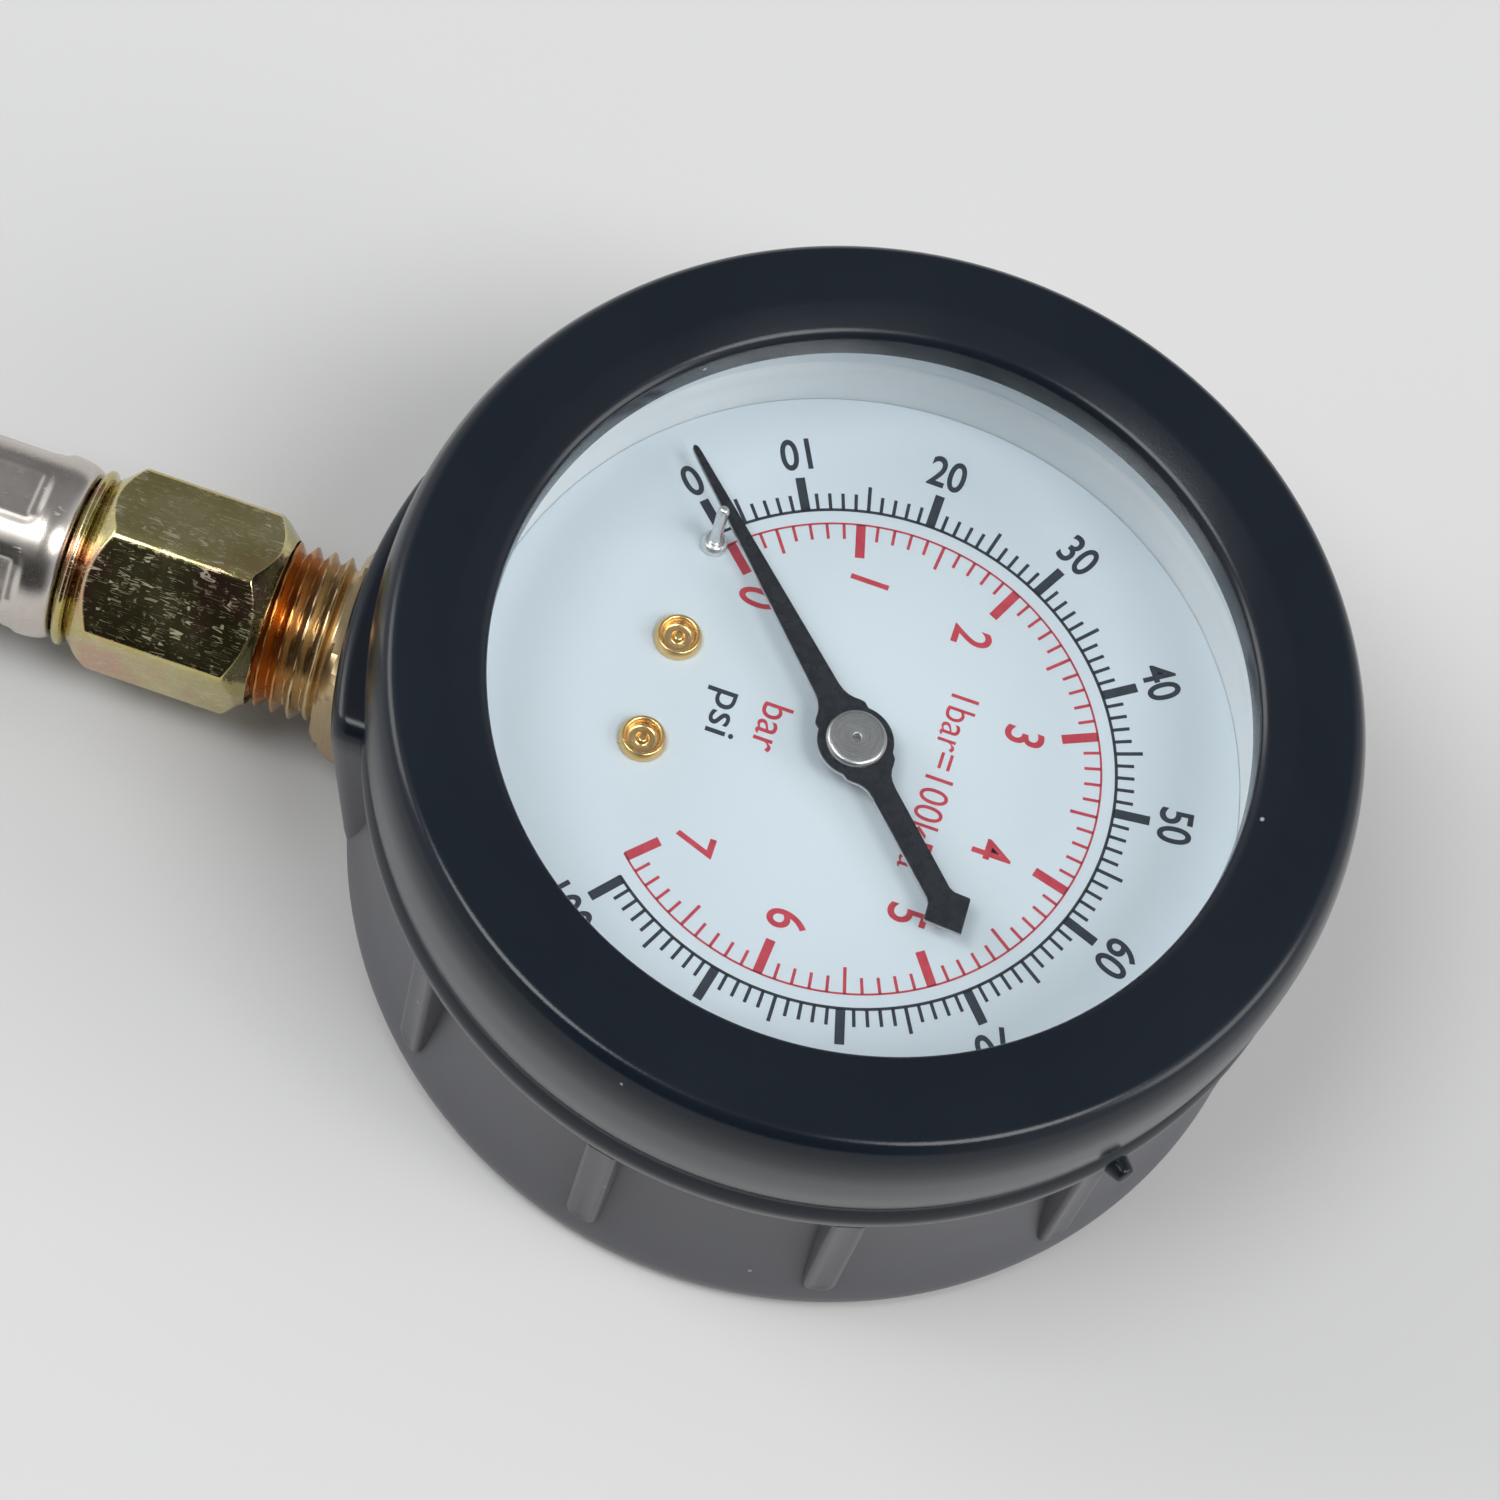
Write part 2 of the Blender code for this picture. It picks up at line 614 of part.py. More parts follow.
def bourdon_tube():
    """A flattened tube bent into most of a circle, open at both ends."""
    count = 12
    bm = bmesh.new()
    ring = []
    for index in range(count):
        angle = 2.0 * math.pi * index / count
        across = TUBE_HALF_WIDTH * math.copysign(abs(math.cos(angle)) ** 0.7, math.cos(angle))
        along = TUBE_HALF_HEIGHT * math.sin(angle)
        ring.append(bm.verts.new((TUBE_RADIUS + across, 0.0, STEM_HEIGHT + along)))
    for index in range(count):
        bm.edges.new((ring[index], ring[index - 1]))
    tube = add_object("bourdon_tube", mesh_from("bourdon_tube", bm), BRONZE)
    screw = tube.modifiers.new("bend", "SCREW")
    screw.angle = math.radians(TUBE_ARC)
    screw.steps = 30
    screw.render_steps = 30
    screw.use_merge_vertices = False
    screw.merge_threshold = 0.000005
    wall = tube.modifiers.new("wall", "SOLIDIFY")
    wall.thickness = TUBE_WALL * MM
    wall.offset = -1.0
    tube.rotation_euler.z = math.radians(TUBE_ROOT - TUBE_ARC)


# Stem and hose fitting

def thread_outline():
    """Tapered V-thread crests and roots along the stem, as (radius, distance) points."""
    points = []
    turns = int((THREAD_END - THREAD_START) / THREAD_PITCH)
    for index in range(turns):
        distance = THREAD_START + index * THREAD_PITCH
        crest = THREAD_RADIUS - (distance - THREAD_START) * THREAD_TAPER
        points += [(crest - THREAD_DEPTH, distance), (crest, distance + 0.45 * THREAD_PITCH),
                   (crest, distance + 0.55 * THREAD_PITCH)]
    return points


def socket_stem():
    half = SQUARE / 2.0
    body = block("socket_stem", (-half, -THREAD_START, STEM_HEIGHT - half),
                 (half, -STEP, STEM_HEIGHT + half), BRASS)
    seat = half - 0.4
    carve(body, block("socket_seat_tool", (-seat, -STEP - 1.0, 4.2), (seat, -STEM_INNER, 11.7)),
          "UNION")
    carve(body, block("socket_ears_tool", (-12.4, -28.6, 7.0), (12.4, -25.2, 15.0)), "UNION")
    root = THREAD_RADIUS - THREAD_DEPTH
    outline = [(0.0, THREAD_END), (5.2, THREAD_END), (5.9, THREAD_END - 0.8)]
    outline += list(reversed(thread_outline())) + [(root, THREAD_START - 2.0)]
    outline += [(0.0, THREAD_START - 2.0)]
    carve(body, along_stem(turned("socket_thread_tool", outline, steps=24)), "UNION")
    channel = disc("socket_channel_tool", 1.0, 1.1, 12.0, steps=10)
    carve(body, place(channel, (0.0, -22.0, STEM_HEIGHT), (0.0, -90.0, 0.0)))
    carve(body, along_stem(disc("socket_bore_tool", STEM_BORE, 20.5, 60.0, steps=16)))
    for side in (-1, 1):
        stud_hole = disc(f"socket_stud_tool_{side}", 1.1, 7.9, 14.0, steps=12)
        carve(body, place(stud_hole, (side * SCREW_X, SCREW_Y, 0.0)))
        screw_hole = disc(f"socket_screw_tool_{side}", 1.35, 26.3, 33.0, steps=12)
        place(screw_hole, (0.0, 0.0, STEM_HEIGHT), (90.0, 0.0, side * CASE_SCREW_ANGLE))
        carve(body, screw_hole)


def restrictor_screw():
    outline = [(0.35, 54.9), (2.1, 54.9), (2.1, 51.0), (0.35, 51.0)]
    along_stem(turned("restrictor_screw", outline, BRASS, 16))


def nut_body():
    """A hexagonal bar along the stem, with both ends turned to a cone."""
    corner = NUT_FLATS / math.sqrt(3.0)
    outline = [(corner * math.cos(math.radians(NUT_CORNER_ANGLE + 60.0 * side)),
                corner * math.sin(math.radians(NUT_CORNER_ANGLE + 60.0 * side)))
               for side in range(6)]
    nut = prism("hose_fitting", outline, NUT_START, NUT_END, OLIVE)
    cone = turned("nut_cone_tool", [(0.0, NUT_END + 0.01), (7.0, NUT_END + 0.01),
                                    (corner + 0.1, NUT_END - 1.5), (corner + 0.1, NUT_START + 1.5),
                                    (7.35, NUT_START - 0.01), (0.0, NUT_START - 0.01)], steps=36)
    carve(nut, along_stem(cone), "INTERSECT")
    return along_stem(nut)


def hose_tail_outline():
    """The collar and the barbed tail that the hose pushes over."""
    points = [(0.0, FERRULE_END - 1.2), (3.0, FERRULE_END - 1.2)]
    for index in range(4):
        start = FERRULE_END - 5.6 - index * 5.0
        points += [(3.8, start + 1.6), (3.8, start + 1.3), (3.2, start + 1.2), (3.2, start)]
    points += [(3.2, FERRULE_START + 0.6), (6.0, FERRULE_START + 0.6)]
    points += [(6.0, FERRULE_START - 0.35), (7.15, FERRULE_START - 0.45)]
    points += [(7.25, NUT_END + 0.75), (7.0, NUT_END + 0.5), (6.2, NUT_END + 0.45)]
    points += [(6.2, NUT_END - 1.0), (0.0, NUT_END - 1.0)]
    return points


def hose_fitting():
    nut = nut_body()
    carve(nut, along_stem(turned("hose_tail_tool", hose_tail_outline(), steps=24)), "UNION")
    mouth = THREAD_RADIUS - (NUT_START - THREAD_START) * THREAD_TAPER + 0.15
    deep = mouth - (THREAD_END - NUT_START) * THREAD_TAPER
    bore = turned("nut_bore_tool", [(0.0, THREAD_END + 1.2), (deep - 0.6, THREAD_END + 1.2),
                                    (deep, THREAD_END + 0.4), (mouth, NUT_START - 0.5),
                                    (0.0, NUT_START - 0.5)], steps=24)
    carve(nut, along_stem(bore))
    carve(nut, along_stem(disc("tail_bore_tool", 2.0, THREAD_END, FERRULE_END + 2.0, steps=16)))


def crimp_ferrule():
    outline = [(FERRULE_BORE, FERRULE_END), (7.0, FERRULE_END), (7.3, FERRULE_END - 0.5),
               (FERRULE_RADIUS, FERRULE_END - 1.5), (FERRULE_RADIUS, FERRULE_START + 1.5),
               (7.1, FERRULE_START + 0.5), (6.5, FERRULE_START), (6.3, FERRULE_START)]
    ferrule = turned("crimp_ferrule", outline, NICKEL, 48)
    bm = bmesh.new()
    for index in range(PANEL_COUNT):
        azimuth = PANEL_PHASE + index * 360.0 / PANEL_COUNT
        turn = Matrix.Rotation(math.radians(azimuth), 4, "Z")
        cube = bmesh.ops.create_cube(bm, size=1.0)
        bmesh.ops.scale(bm, vec=(2.0, 7.0, 20.0), verts=cube["verts"])
        flat = FERRULE_RADIUS - PANEL_DEPTH
        bmesh.ops.translate(bm, vec=(flat + 1.0, 0.0, FERRULE_START + 12.2), verts=cube["verts"])
        bmesh.ops.transform(bm, matrix=turn, verts=cube["verts"])
    panels = add_object("ferrule_panels_tool", mesh_from("ferrule_panels_tool", bm))
    carve(ferrule, along_stem(panels))
    along_stem(ferrule)


def build():
    for old in list(bpy.data.objects):
        bpy.data.objects.remove(old, do_unlink=True)
    rubber_boot()
    case_cup()
    blowout_plug()
    case_screws()
    bezel_ring()
    window()
    dial_plate()
    dial_screws()
    stop_pin()
    pointer_group()
    hairspring()
    movement_frame()
    tail_pin = sector_group()
    link, pin, pin_at = link_group(tail_pin)
    tip = tube_tip(pin_at)
    bpy.context.view_layer.update()
    ride_on(joint_empty("tip_centre", tip_axis()), [tip, pin])
    ride_on(joint_empty("link_pivot", pin_at), [link])
    bourdon_tube()
    socket_stem()
    restrictor_screw()
    hose_fitting()
    crimp_ferrule()


PARTS = make_collection("pressure_gauge")
CUTTERS = make_collection("cutters")
build()
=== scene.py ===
# %% [markdown]
# # A pressure gauge in a rubber boot
# The gauge lies on its back. Its dial looks up along +Z, and its threaded stem leaves along -Y
# into a hexagonal hose fitting and a crimped ferrule. The working solids come from the packed
# frame, and every visible piece here is built around them in the same metres.

# %% Load the frame
import json
import math

import bmesh
import bpy
import numpy as np
from mathutils import Matrix, Vector


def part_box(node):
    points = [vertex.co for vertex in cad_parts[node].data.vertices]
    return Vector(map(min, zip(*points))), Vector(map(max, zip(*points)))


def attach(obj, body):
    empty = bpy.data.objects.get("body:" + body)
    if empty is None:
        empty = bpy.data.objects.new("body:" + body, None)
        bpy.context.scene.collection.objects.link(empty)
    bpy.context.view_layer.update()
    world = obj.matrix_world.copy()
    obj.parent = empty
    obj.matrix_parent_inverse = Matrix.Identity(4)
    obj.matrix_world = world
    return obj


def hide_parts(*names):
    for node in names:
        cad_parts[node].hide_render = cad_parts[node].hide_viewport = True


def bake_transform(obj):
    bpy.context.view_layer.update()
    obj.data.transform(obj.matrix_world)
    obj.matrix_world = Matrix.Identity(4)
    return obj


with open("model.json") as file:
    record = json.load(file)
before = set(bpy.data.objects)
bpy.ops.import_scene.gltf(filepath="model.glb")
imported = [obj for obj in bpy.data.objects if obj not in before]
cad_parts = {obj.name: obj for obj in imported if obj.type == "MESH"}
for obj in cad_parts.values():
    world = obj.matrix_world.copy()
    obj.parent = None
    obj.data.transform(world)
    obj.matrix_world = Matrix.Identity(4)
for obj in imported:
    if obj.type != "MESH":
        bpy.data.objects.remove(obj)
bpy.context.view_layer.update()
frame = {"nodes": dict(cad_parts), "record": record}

# %% [markdown]
# ## Heights and distances
# The frame gives the places that matter, so a change in the solids moves the looks with it.
# Lengths are in metres, and MM turns a size in millimetres into metres.

# %% Key positions
MM = 0.001
BOOT_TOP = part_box("rubber_boot")[1].z / MM
DIAL_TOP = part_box("dial_plate")[1].z / MM
GLASS_LOW, GLASS_TOP = (corner.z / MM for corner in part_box("window_glass"))
POINTER_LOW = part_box("pointer")[0].z / MM
STEM_HEIGHT = sum(corner.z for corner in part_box("crimp_ferrule")) / 2.0 / MM
NUT_START = -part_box("hose_fitting")[1].y / MM
NUT_END = NUT_START + 15.0
FERRULE_END, FERRULE_START = (-corner.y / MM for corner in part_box("crimp_ferrule"))
THREAD_START = 40.9
THREAD_END = -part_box("socket_stem")[0].y / MM
print("dial at", round(DIAL_TOP, 2), "mm, stem at", round(STEM_HEIGHT, 2), "mm")


def placed(name, data):
    """Puts a camera, lamp, text or mesh in the scene as an object at the origin."""
    thing = bpy.data.objects.new(name, data)
    bpy.context.scene.collection.objects.link(thing)
    return thing


# %% [markdown]
# ## Camera
# A long lens looks down at the dial from the three o'clock side, with a little roll, so the
# stem leaves to the left. An aim constraint can't give a roll, so the turn comes from three unit
# vectors instead: right, up and backwards.

# %% Camera
camera_data = bpy.data.cameras.new("camera")
camera_data.lens = 116.19
camera_data.sensor_width = 36.0
camera_data.clip_end = 20.0
camera = placed("camera", camera_data)
right = Vector((-0.29508, 0.94570, 0.13627))
up = Vector((-0.86187, -0.32502, 0.38929))
back = Vector((0.41245, -0.00258, 0.91098))
turn = Matrix((right, up, back)).transposed().to_4x4()
camera.matrix_world = Matrix.Translation((0.15638, -0.00841, 0.36297)) @ turn
bpy.context.scene.camera = camera
print("camera height:", round(camera.matrix_world.translation.z, 3), "m")

# %% [markdown]
# ## Lights
# Soft boxes show moulded rubber and plated metal best, as long thin highlights. Two round ones
# hang high over the left and the right of the gauge, and leave the window's mirror direction
# dark, so the dial keeps its contrast. Two low ones at the sides fill the skirt and draw the
# lines on the bead.

# %% Lights
def soft_box(name, place, size, power, colour, shape):
    """A soft box that looks at the object."""
    data = bpy.data.lights.new(name, "AREA")
    data.shape = shape
    data.size = size
    data.energy = power
    data.color = colour
    lamp = placed(name, data)
    lamp.location = place
    lamp.rotation_euler = (-Vector(place)).to_track_quat("-Z", "Y").to_euler()


soft_box("high_left", (0.30, -0.56, 1.50), 0.66, 9.0, (0.96, 0.985, 1.0), "DISK")
soft_box("high_right", (0.40, 0.70, 1.50), 0.70, 10.4, (0.98, 0.99, 1.0), "DISK")
soft_box("low_left", (-0.10, -1.60, 0.90), 0.80, 9.4, (1.0, 0.98, 0.95), "SQUARE")
soft_box("low_right", (0.10, 1.60, 0.95), 0.90, 10.6, (1.0, 0.985, 0.96), "SQUARE")
print("soft boxes:", len(bpy.data.lights))

# %% [markdown]
# ## Node helper
# Trees are easier to read when a node and what feeds it stand together. This helper adds a node
# with its inputs in one call. A value is another node's socket, or a plain number or colour.

# %% Node helper
class Net:
    """Adds nodes to one tree."""

    def __init__(self, tree):
        self.tree = tree

    def feed(self, socket, value):
        if isinstance(value, bpy.types.NodeSocket):
            self.tree.links.new(value, socket)
        else:
            socket.default_value = value

    def add(self, kind, inputs, **settings):
        """A node with its settings made first, then its inputs, by name or number."""
        node = self.tree.nodes.new(kind)
        for label, value in settings.items():
            setattr(node, label, value)
        for slot, value in inputs.items():
            self.feed(node.inputs[slot], value)
        return node

    def math(self, operation, first, second=None):
        inputs = {0: first} if second is None else {0: first, 1: second}
        return self.add("ShaderNodeMath", inputs, operation=operation).outputs[0]

    def between(self, value, low, high, curve="SMOOTHSTEP"):
        """Maps low..high to 0..1, held at the ends."""
        inputs = {"Value": value, "From Min": low, "From Max": high}
        return self.add("ShaderNodeMapRange", inputs, interpolation_type=curve).outputs["Result"]

    def noise(self, place, scale, detail=2.0, rough=0.5):
        inputs = {"Vector": place, "Scale": scale, "Detail": detail, "Roughness": rough}
        return self.add("ShaderNodeTexNoise", inputs).outputs["Fac"]


def new_tree(name, kind, inputs, outputs):
    """A tree with named sockets. An input is (name, sort), with a default if it needs one."""
    tree = bpy.data.node_groups.new(name, kind)
    for label, sort, *default in inputs:
        socket = tree.interface.new_socket(label, in_out="INPUT", socket_type="NodeSocket" + sort)
        if default:
            socket.default_value = default[0]
    for label, sort in outputs:
        tree.interface.new_socket(label, in_out="OUTPUT", socket_type="NodeSocket" + sort)
    given = tree.nodes.new("NodeGroupInput").outputs
    result = tree.nodes.new("NodeGroupOutput").inputs
    return Net(tree), given, result


def mask_group(name, outputs=("Mask",), **numbers):
    """A shader group that puts out masks between 0 and 1."""
    inputs = [(label.replace("_", " "), "Float", value) for label, value in numbers.items()]
    if "Scale" in numbers:
        inputs.insert(0, ("Place", "Vector"))
    return new_tree(name, "ShaderNodeTree", inputs, [(label, "Float") for label in outputs])


# %% [markdown]
# ## Shader groups
# Four effects turn up in several finishes: broad mottling, fine scratches, specks of dust, and
# the lines that a turning tool leaves. Each could be copied into every material, but as a group
# with named inputs it is built once, and each material uses its masks in its own way.

# %% Mottling group
net, given, result = mask_group("Mottling", ("Mask", "Fine"), Scale=60.0, Contrast=0.5)
mottle_group = net.tree
broad = net.noise(given["Place"], given["Scale"], 4.0, 0.6)
fine = net.noise(given["Place"], net.math("MULTIPLY", given["Scale"], 14.0))
spread = net.math("MULTIPLY", net.math("SUBTRACT", broad, 0.5), given["Contrast"])
net.feed(result["Mask"], net.math("ADD", net.math("MULTIPLY", spread, 3.0), 0.5))
net.feed(result["Fine"], fine)

# %% Scratch group
net, given, result = mask_group("Scratches", Scale=900.0, Stretch=12.0, Amount=0.5)
scratch_group = net.tree
thin = net.math("DIVIDE", 1.0, given["Stretch"])
squeeze = net.add("ShaderNodeCombineXYZ", {"X": 1.0, "Y": thin, "Z": 1.0}).outputs[0]
# Two sets of long thin cells, crossing, give short straight marks that come and go.
sets = []
for tilt in (0.25, -0.9):
    lie = net.add("ShaderNodeMapping", {
        "Vector": given["Place"], "Rotation": (tilt, 0.4 * tilt, tilt), "Scale": squeeze})
    cells = net.noise(lie.outputs[0], given["Scale"], 1.0)
    off = net.math("ABSOLUTE", net.math("SUBTRACT", cells, 0.5))
    sets.append(net.math("SUBTRACT", 1.0, net.between(off, 0.004, 0.02)))
patches = net.noise(given["Place"], net.math("MULTIPLY", given["Scale"], 0.6))
level = net.math("SUBTRACT", 0.85, net.math("MULTIPLY", given["Amount"], 0.5))
shown = net.between(patches, level, net.math("ADD", level, 0.05))
net.feed(result["Mask"], net.math("MULTIPLY", net.math("MAXIMUM", *sets), shown))

# %% Dust group
net, given, result = mask_group("Dust specks", Scale=420.0, Size=0.09, Amount=0.3)
dust_group = net.tree
specks = net.add("ShaderNodeTexVoronoi", {
    "Vector": given["Place"], "Scale": given["Scale"]}).outputs
core = net.math("MULTIPLY", given["Size"], 0.5)
spot = net.math("SUBTRACT", 1.0, net.between(specks["Distance"], core, given["Size"]))
chosen = net.add("ShaderNodeSeparateColor", {"Color": specks["Color"]}).outputs["Red"]
kept = net.math("LESS_THAN", chosen, given["Amount"])
net.feed(result["Mask"], net.math("MULTIPLY", spot, kept))

# %% Tool mark group
net, given, result = mask_group("Tool marks", Radius=0.0, Along=0.0, Lines_per_metre=9000.0)
turned_group = net.tree
across, along = [net.math("MULTIPLY", given[label], given["Lines per metre"])
                 for label in ("Radius", "Along")]
spot = net.add("ShaderNodeCombineXYZ", {"X": across, "Y": along}).outputs[0]
net.feed(result["Mask"], net.noise(spot, 1.0, 3.0, 0.7))
print("shader groups:", [group.name for group in bpy.data.node_groups])

# %% [markdown]
# ## The room
# Polished metal shows the room. An image of a studio could be wrapped round the scene, but a few
# nodes are enough: dark behind the camera, a soft grey behind the object and bright at both
# sides, so the flats of the nut read as separate tones.

# %% World
world = bpy.data.worlds.new("studio")
world.use_nodes = True
bpy.context.scene.world = world
room = Net(world.node_tree)
around = room.add("ShaderNodeTexCoord", {}).outputs["Generated"]
facing = room.add("ShaderNodeSeparateXYZ", {0: around}).outputs
behind = room.math("SUBTRACT", 1.0, room.between(facing["X"], -0.45, 0.60))
high = room.between(facing["Z"], 0.15, 0.85)
side = room.between(room.math("ABSOLUTE", facing["Y"]), 0.30, 0.9)
glow = room.math("ADD", room.math("MULTIPLY", high, 0.06), 0.19)
glow = room.math("MULTIPLY", glow, room.math("ADD", behind, 0.10))
glow = room.math("ADD", glow, room.math("MULTIPLY", side, 0.75))
background = world.node_tree.nodes["Background"]
background.inputs["Color"].default_value = (0.92, 0.95, 1.0, 1.0)
room.feed(background.inputs["Strength"], glow)
bpy.context.scene.view_settings.view_transform = "Standard"

# %% [markdown]
# ## Finishes
# A finish is a material with a Principled shader and small tools to place groups, blend colours
# and add a bump. Constant values go straight on the shader's sockets.

# %% Finish helper
class Finish(Net):
    """One procedural material and the nodes that feed its Principled shader."""

    def __init__(self, name, **constants):
        self.material = bpy.data.materials.new(name)
        self.material.use_nodes = True
        super().__init__(self.material.node_tree)
        self.shader = self.tree.nodes["Principled BSDF"]
        for label, value in constants.items():
            self.shader.inputs[label.replace("_", " ")].default_value = value
        self.place = self.add("ShaderNodeTexCoord", {}).outputs["Object"]

    def axis(self, letter):
        """One coordinate of the object's own frame."""
        return self.add("ShaderNodeSeparateXYZ", {0: self.place}).outputs[letter]

    def group(self, tree, output="Mask", **values):
        """Places a group. A value may be a number or a socket."""
        node = self.add("ShaderNodeGroup", {}, node_tree=tree)
        if "Place" in node.inputs:
            self.feed(node.inputs["Place"], self.place)
        for label, value in values.items():
            self.feed(node.inputs[label.replace("_", " ")], value)
        return node.outputs[output]

    def blend(self, share, first, second):
        """A colour between two colours, each a tuple or a socket."""
        ends = [(*end, 1.0) if isinstance(end, tuple) else end for end in (first, second)]
        inputs = {0: share, 6: ends[0], 7: ends[1]}
        return self.add("ShaderNodeMix", inputs, data_type="RGBA").outputs[2]

    def level(self, share, low, high):
        """A number between low and high."""
        return self.math("ADD", self.math("MULTIPLY", share, high - low), low)

    def colour(self, socket):
        self.feed(self.shader.inputs["Base Color"], socket)

    def roughness(self, socket):
        self.feed(self.shader.inputs["Roughness"], socket)

    def bump(self, height, strength, distance):
        node = self.add("ShaderNodeBump", {
            "Height": height, "Strength": strength, "Distance": distance})
        self.feed(self.shader.inputs["Normal"], node.outputs["Normal"])


def clouded(name, scale, contrast, colours, rough, **constants):
    """A finish whose colour and roughness both follow one mottling mask."""
    finish = Finish(name, **constants)
    cloud = finish.group(mottle_group, Scale=scale, Contrast=contrast)
    finish.colour(finish.blend(cloud, *colours))
    finish.roughness(finish.level(cloud, *rough))
    return finish


# %% [markdown]
# ### Floor
# The gauge lies on studio paper. One large square a hair under the object is enough, because
# the low boxes and the room light it evenly to its edges.

# %% Floor
def make_floor():
    paper = Finish("studio_paper", Roughness=0.8)
    grain = paper.noise(paper.place, 3.0)
    paper.colour(paper.blend(grain, (0.600, 0.590, 0.575), (0.625, 0.620, 0.620)))
    reach, under = 3.0, -0.0002
    mesh = bpy.data.meshes.new("floor")
    mesh.from_pydata([(-reach, -reach, under), (reach, -reach, under), (reach, reach, under),
                      (-reach, reach, under)], [], [(0, 1, 2, 3)])
    mesh.materials.append(paper.material)
    placed("floor", mesh)
    return mesh


print("floor corners:", len(make_floor().vertices))

# %% [markdown]
# ### Rubber
# Moulded rubber is nearly black, a little blue under a white sky. It is smooth where the mould was
# polished and duller on the skirt, with faint smears and a few pale specks of dust. The skirt's lighter
# grey is painted sheen: the bright floor's reflection, put into its colour.

# %% Rubber
rubber = Finish("moulded_rubber", IOR=1.36)
smear = rubber.group(mottle_group, Scale=35.0, Contrast=0.8)
grain = rubber.group(mottle_group, "Fine", Scale=350.0)
dust = rubber.group(dust_group, Scale=330.0, Size=0.07, Amount=0.16)
skirt = rubber.math("SUBTRACT", 1.0, rubber.between(rubber.axis("Z"), 0.0195, 0.0225))
base = rubber.blend(smear, (0.0060, 0.0095, 0.0150), (0.0085, 0.0125, 0.0190))
# Painted sheen: below the bead the base colour turns a lighter grey that stands in for the floor's
# reflection in the skirt.
base = rubber.blend(skirt, base, (0.092, 0.093, 0.104))
rubber.colour(rubber.blend(dust, base, (0.30, 0.32, 0.34)))
polish = rubber.level(smear, 0.17, 0.25)
rubber.roughness(rubber.math("ADD", polish, rubber.math("MULTIPLY", skirt, 0.12)))
rubber.bump(grain, 0.12, 0.00004)

# %% [markdown]
# ### Enamel, inks and paint
# The dial is sprayed and baked, and its scales are screen-printed in black and red. All of them
# are nearly even: one mottling mask at the right scale gives colour and gloss their small play.

# %% Enamel, inks and pointer paint
enamel = clouded("dial_enamel", 40.0, 0.5, ((0.650, 0.715, 0.770), (0.680, 0.745, 0.795)),
                 (0.42, 0.52), IOR=1.5)
enamel.bump(enamel.group(mottle_group, "Fine", Scale=260.0), 0.05, 0.00002)


def ink(name, low, high, rough=0.55):
    """Screen-printed ink or paint: slightly uneven and matt."""
    return clouded(name, 900.0, 0.9, (low, high), (rough, rough + 0.15), IOR=1.33)


black_ink = ink("black_ink", (0.010, 0.016, 0.026), (0.022, 0.031, 0.045))
red_ink = ink("red_ink", (0.46, 0.030, 0.055), (0.58, 0.060, 0.085))
pointer_paint = ink("pointer_paint", (0.004, 0.006, 0.010), (0.008, 0.011, 0.016), 0.20)

# %% [markdown]
# ### Metals
# The ferrule and the hub are bright nickel and steel, the stem is turned brass with amber
# sealant drawn into its threads near the nut, and the nut is yellow-passivated zinc: olive, with
# a pinkish bloom and plenty of scratches. A metal is mostly its reflections, so the masks change
# roughness first and colour only a little.

# %% Bright metals
def bright_metal(name, dark, light, rough_low, rough_high, scale=220.0):
    finish = Finish(name, Metallic=1.0)
    cloud = finish.group(mottle_group, Scale=scale, Contrast=0.6)
    marks = finish.group(scratch_group, Scale=1400.0, Stretch=10.0, Amount=0.5)
    finish.colour(finish.blend(cloud, dark, light))
    finish.roughness(finish.math(
        "ADD", finish.level(cloud, rough_low, rough_high), finish.math("MULTIPLY", marks, 0.2)))
    finish.bump(marks, 0.15, 0.00001)
    return finish


nickel = bright_metal("ferrule_nickel", (0.60, 0.545, 0.49), (0.74, 0.685, 0.63), 0.22, 0.34)
plated = bright_metal("plated_steel", (0.60, 0.60, 0.60), (0.74, 0.74, 0.73), 0.22, 0.34)
steel = bright_metal("drawn_steel", (0.42, 0.43, 0.44), (0.52, 0.53, 0.54), 0.30, 0.42)
bronze = bright_metal("spring_bronze", (0.55, 0.34, 0.15), (0.68, 0.45, 0.22), 0.25, 0.4)
plain_brass = bright_metal("movement_brass", (0.60, 0.42, 0.16), (0.75, 0.55, 0.24), 0.24, 0.36)
gilt = bright_metal("gilt_brass", (0.70, 0.43, 0.15), (0.82, 0.56, 0.24), 0.16, 0.26)

# %% Hub steel
hub_finish = Finish("hub_steel", Metallic=1.0)
hub_squares = [hub_finish.math("MULTIPLY", hub_finish.axis(letter), hub_finish.axis(letter))
               for letter in "XY"]
from_axis = hub_finish.math("SQRT", hub_finish.math("ADD", *hub_squares))
rings = hub_finish.group(turned_group, Radius=from_axis, Lines_per_metre=14000.0)
hub_finish.colour(hub_finish.blend(rings, (0.34, 0.335, 0.33), (0.52, 0.51, 0.50)))
hub_finish.roughness(hub_finish.level(rings, 0.20, 0.34))
hub_finish.bump(rings, 0.3, 0.00002)

# %% Turned brass with sealant
stem_brass = Finish("turned_brass", Metallic=1.0)
along = stem_brass.math("MULTIPLY", stem_brass.axis("Y"), -1.0)
lathe_lines = stem_brass.group(turned_group, Along=along, Lines_per_metre=5200.0)
brass_cloud = stem_brass.group(mottle_group, Scale=240.0, Contrast=0.8)
brass_colour = stem_brass.blend(lathe_lines, (0.46, 0.33, 0.18), (0.68, 0.52, 0.31))
edge = stem_brass.math("ADD", along, stem_brass.math("MULTIPLY", brass_cloud, 0.0012))
amber = stem_brass.between(edge, (NUT_START - 3.1) * MM, (NUT_START - 0.9) * MM)
stem_brass.colour(stem_brass.blend(amber, brass_colour, (0.52, 0.22, 0.055)))
stem_brass.roughness(stem_brass.level(brass_cloud, 0.20, 0.36))
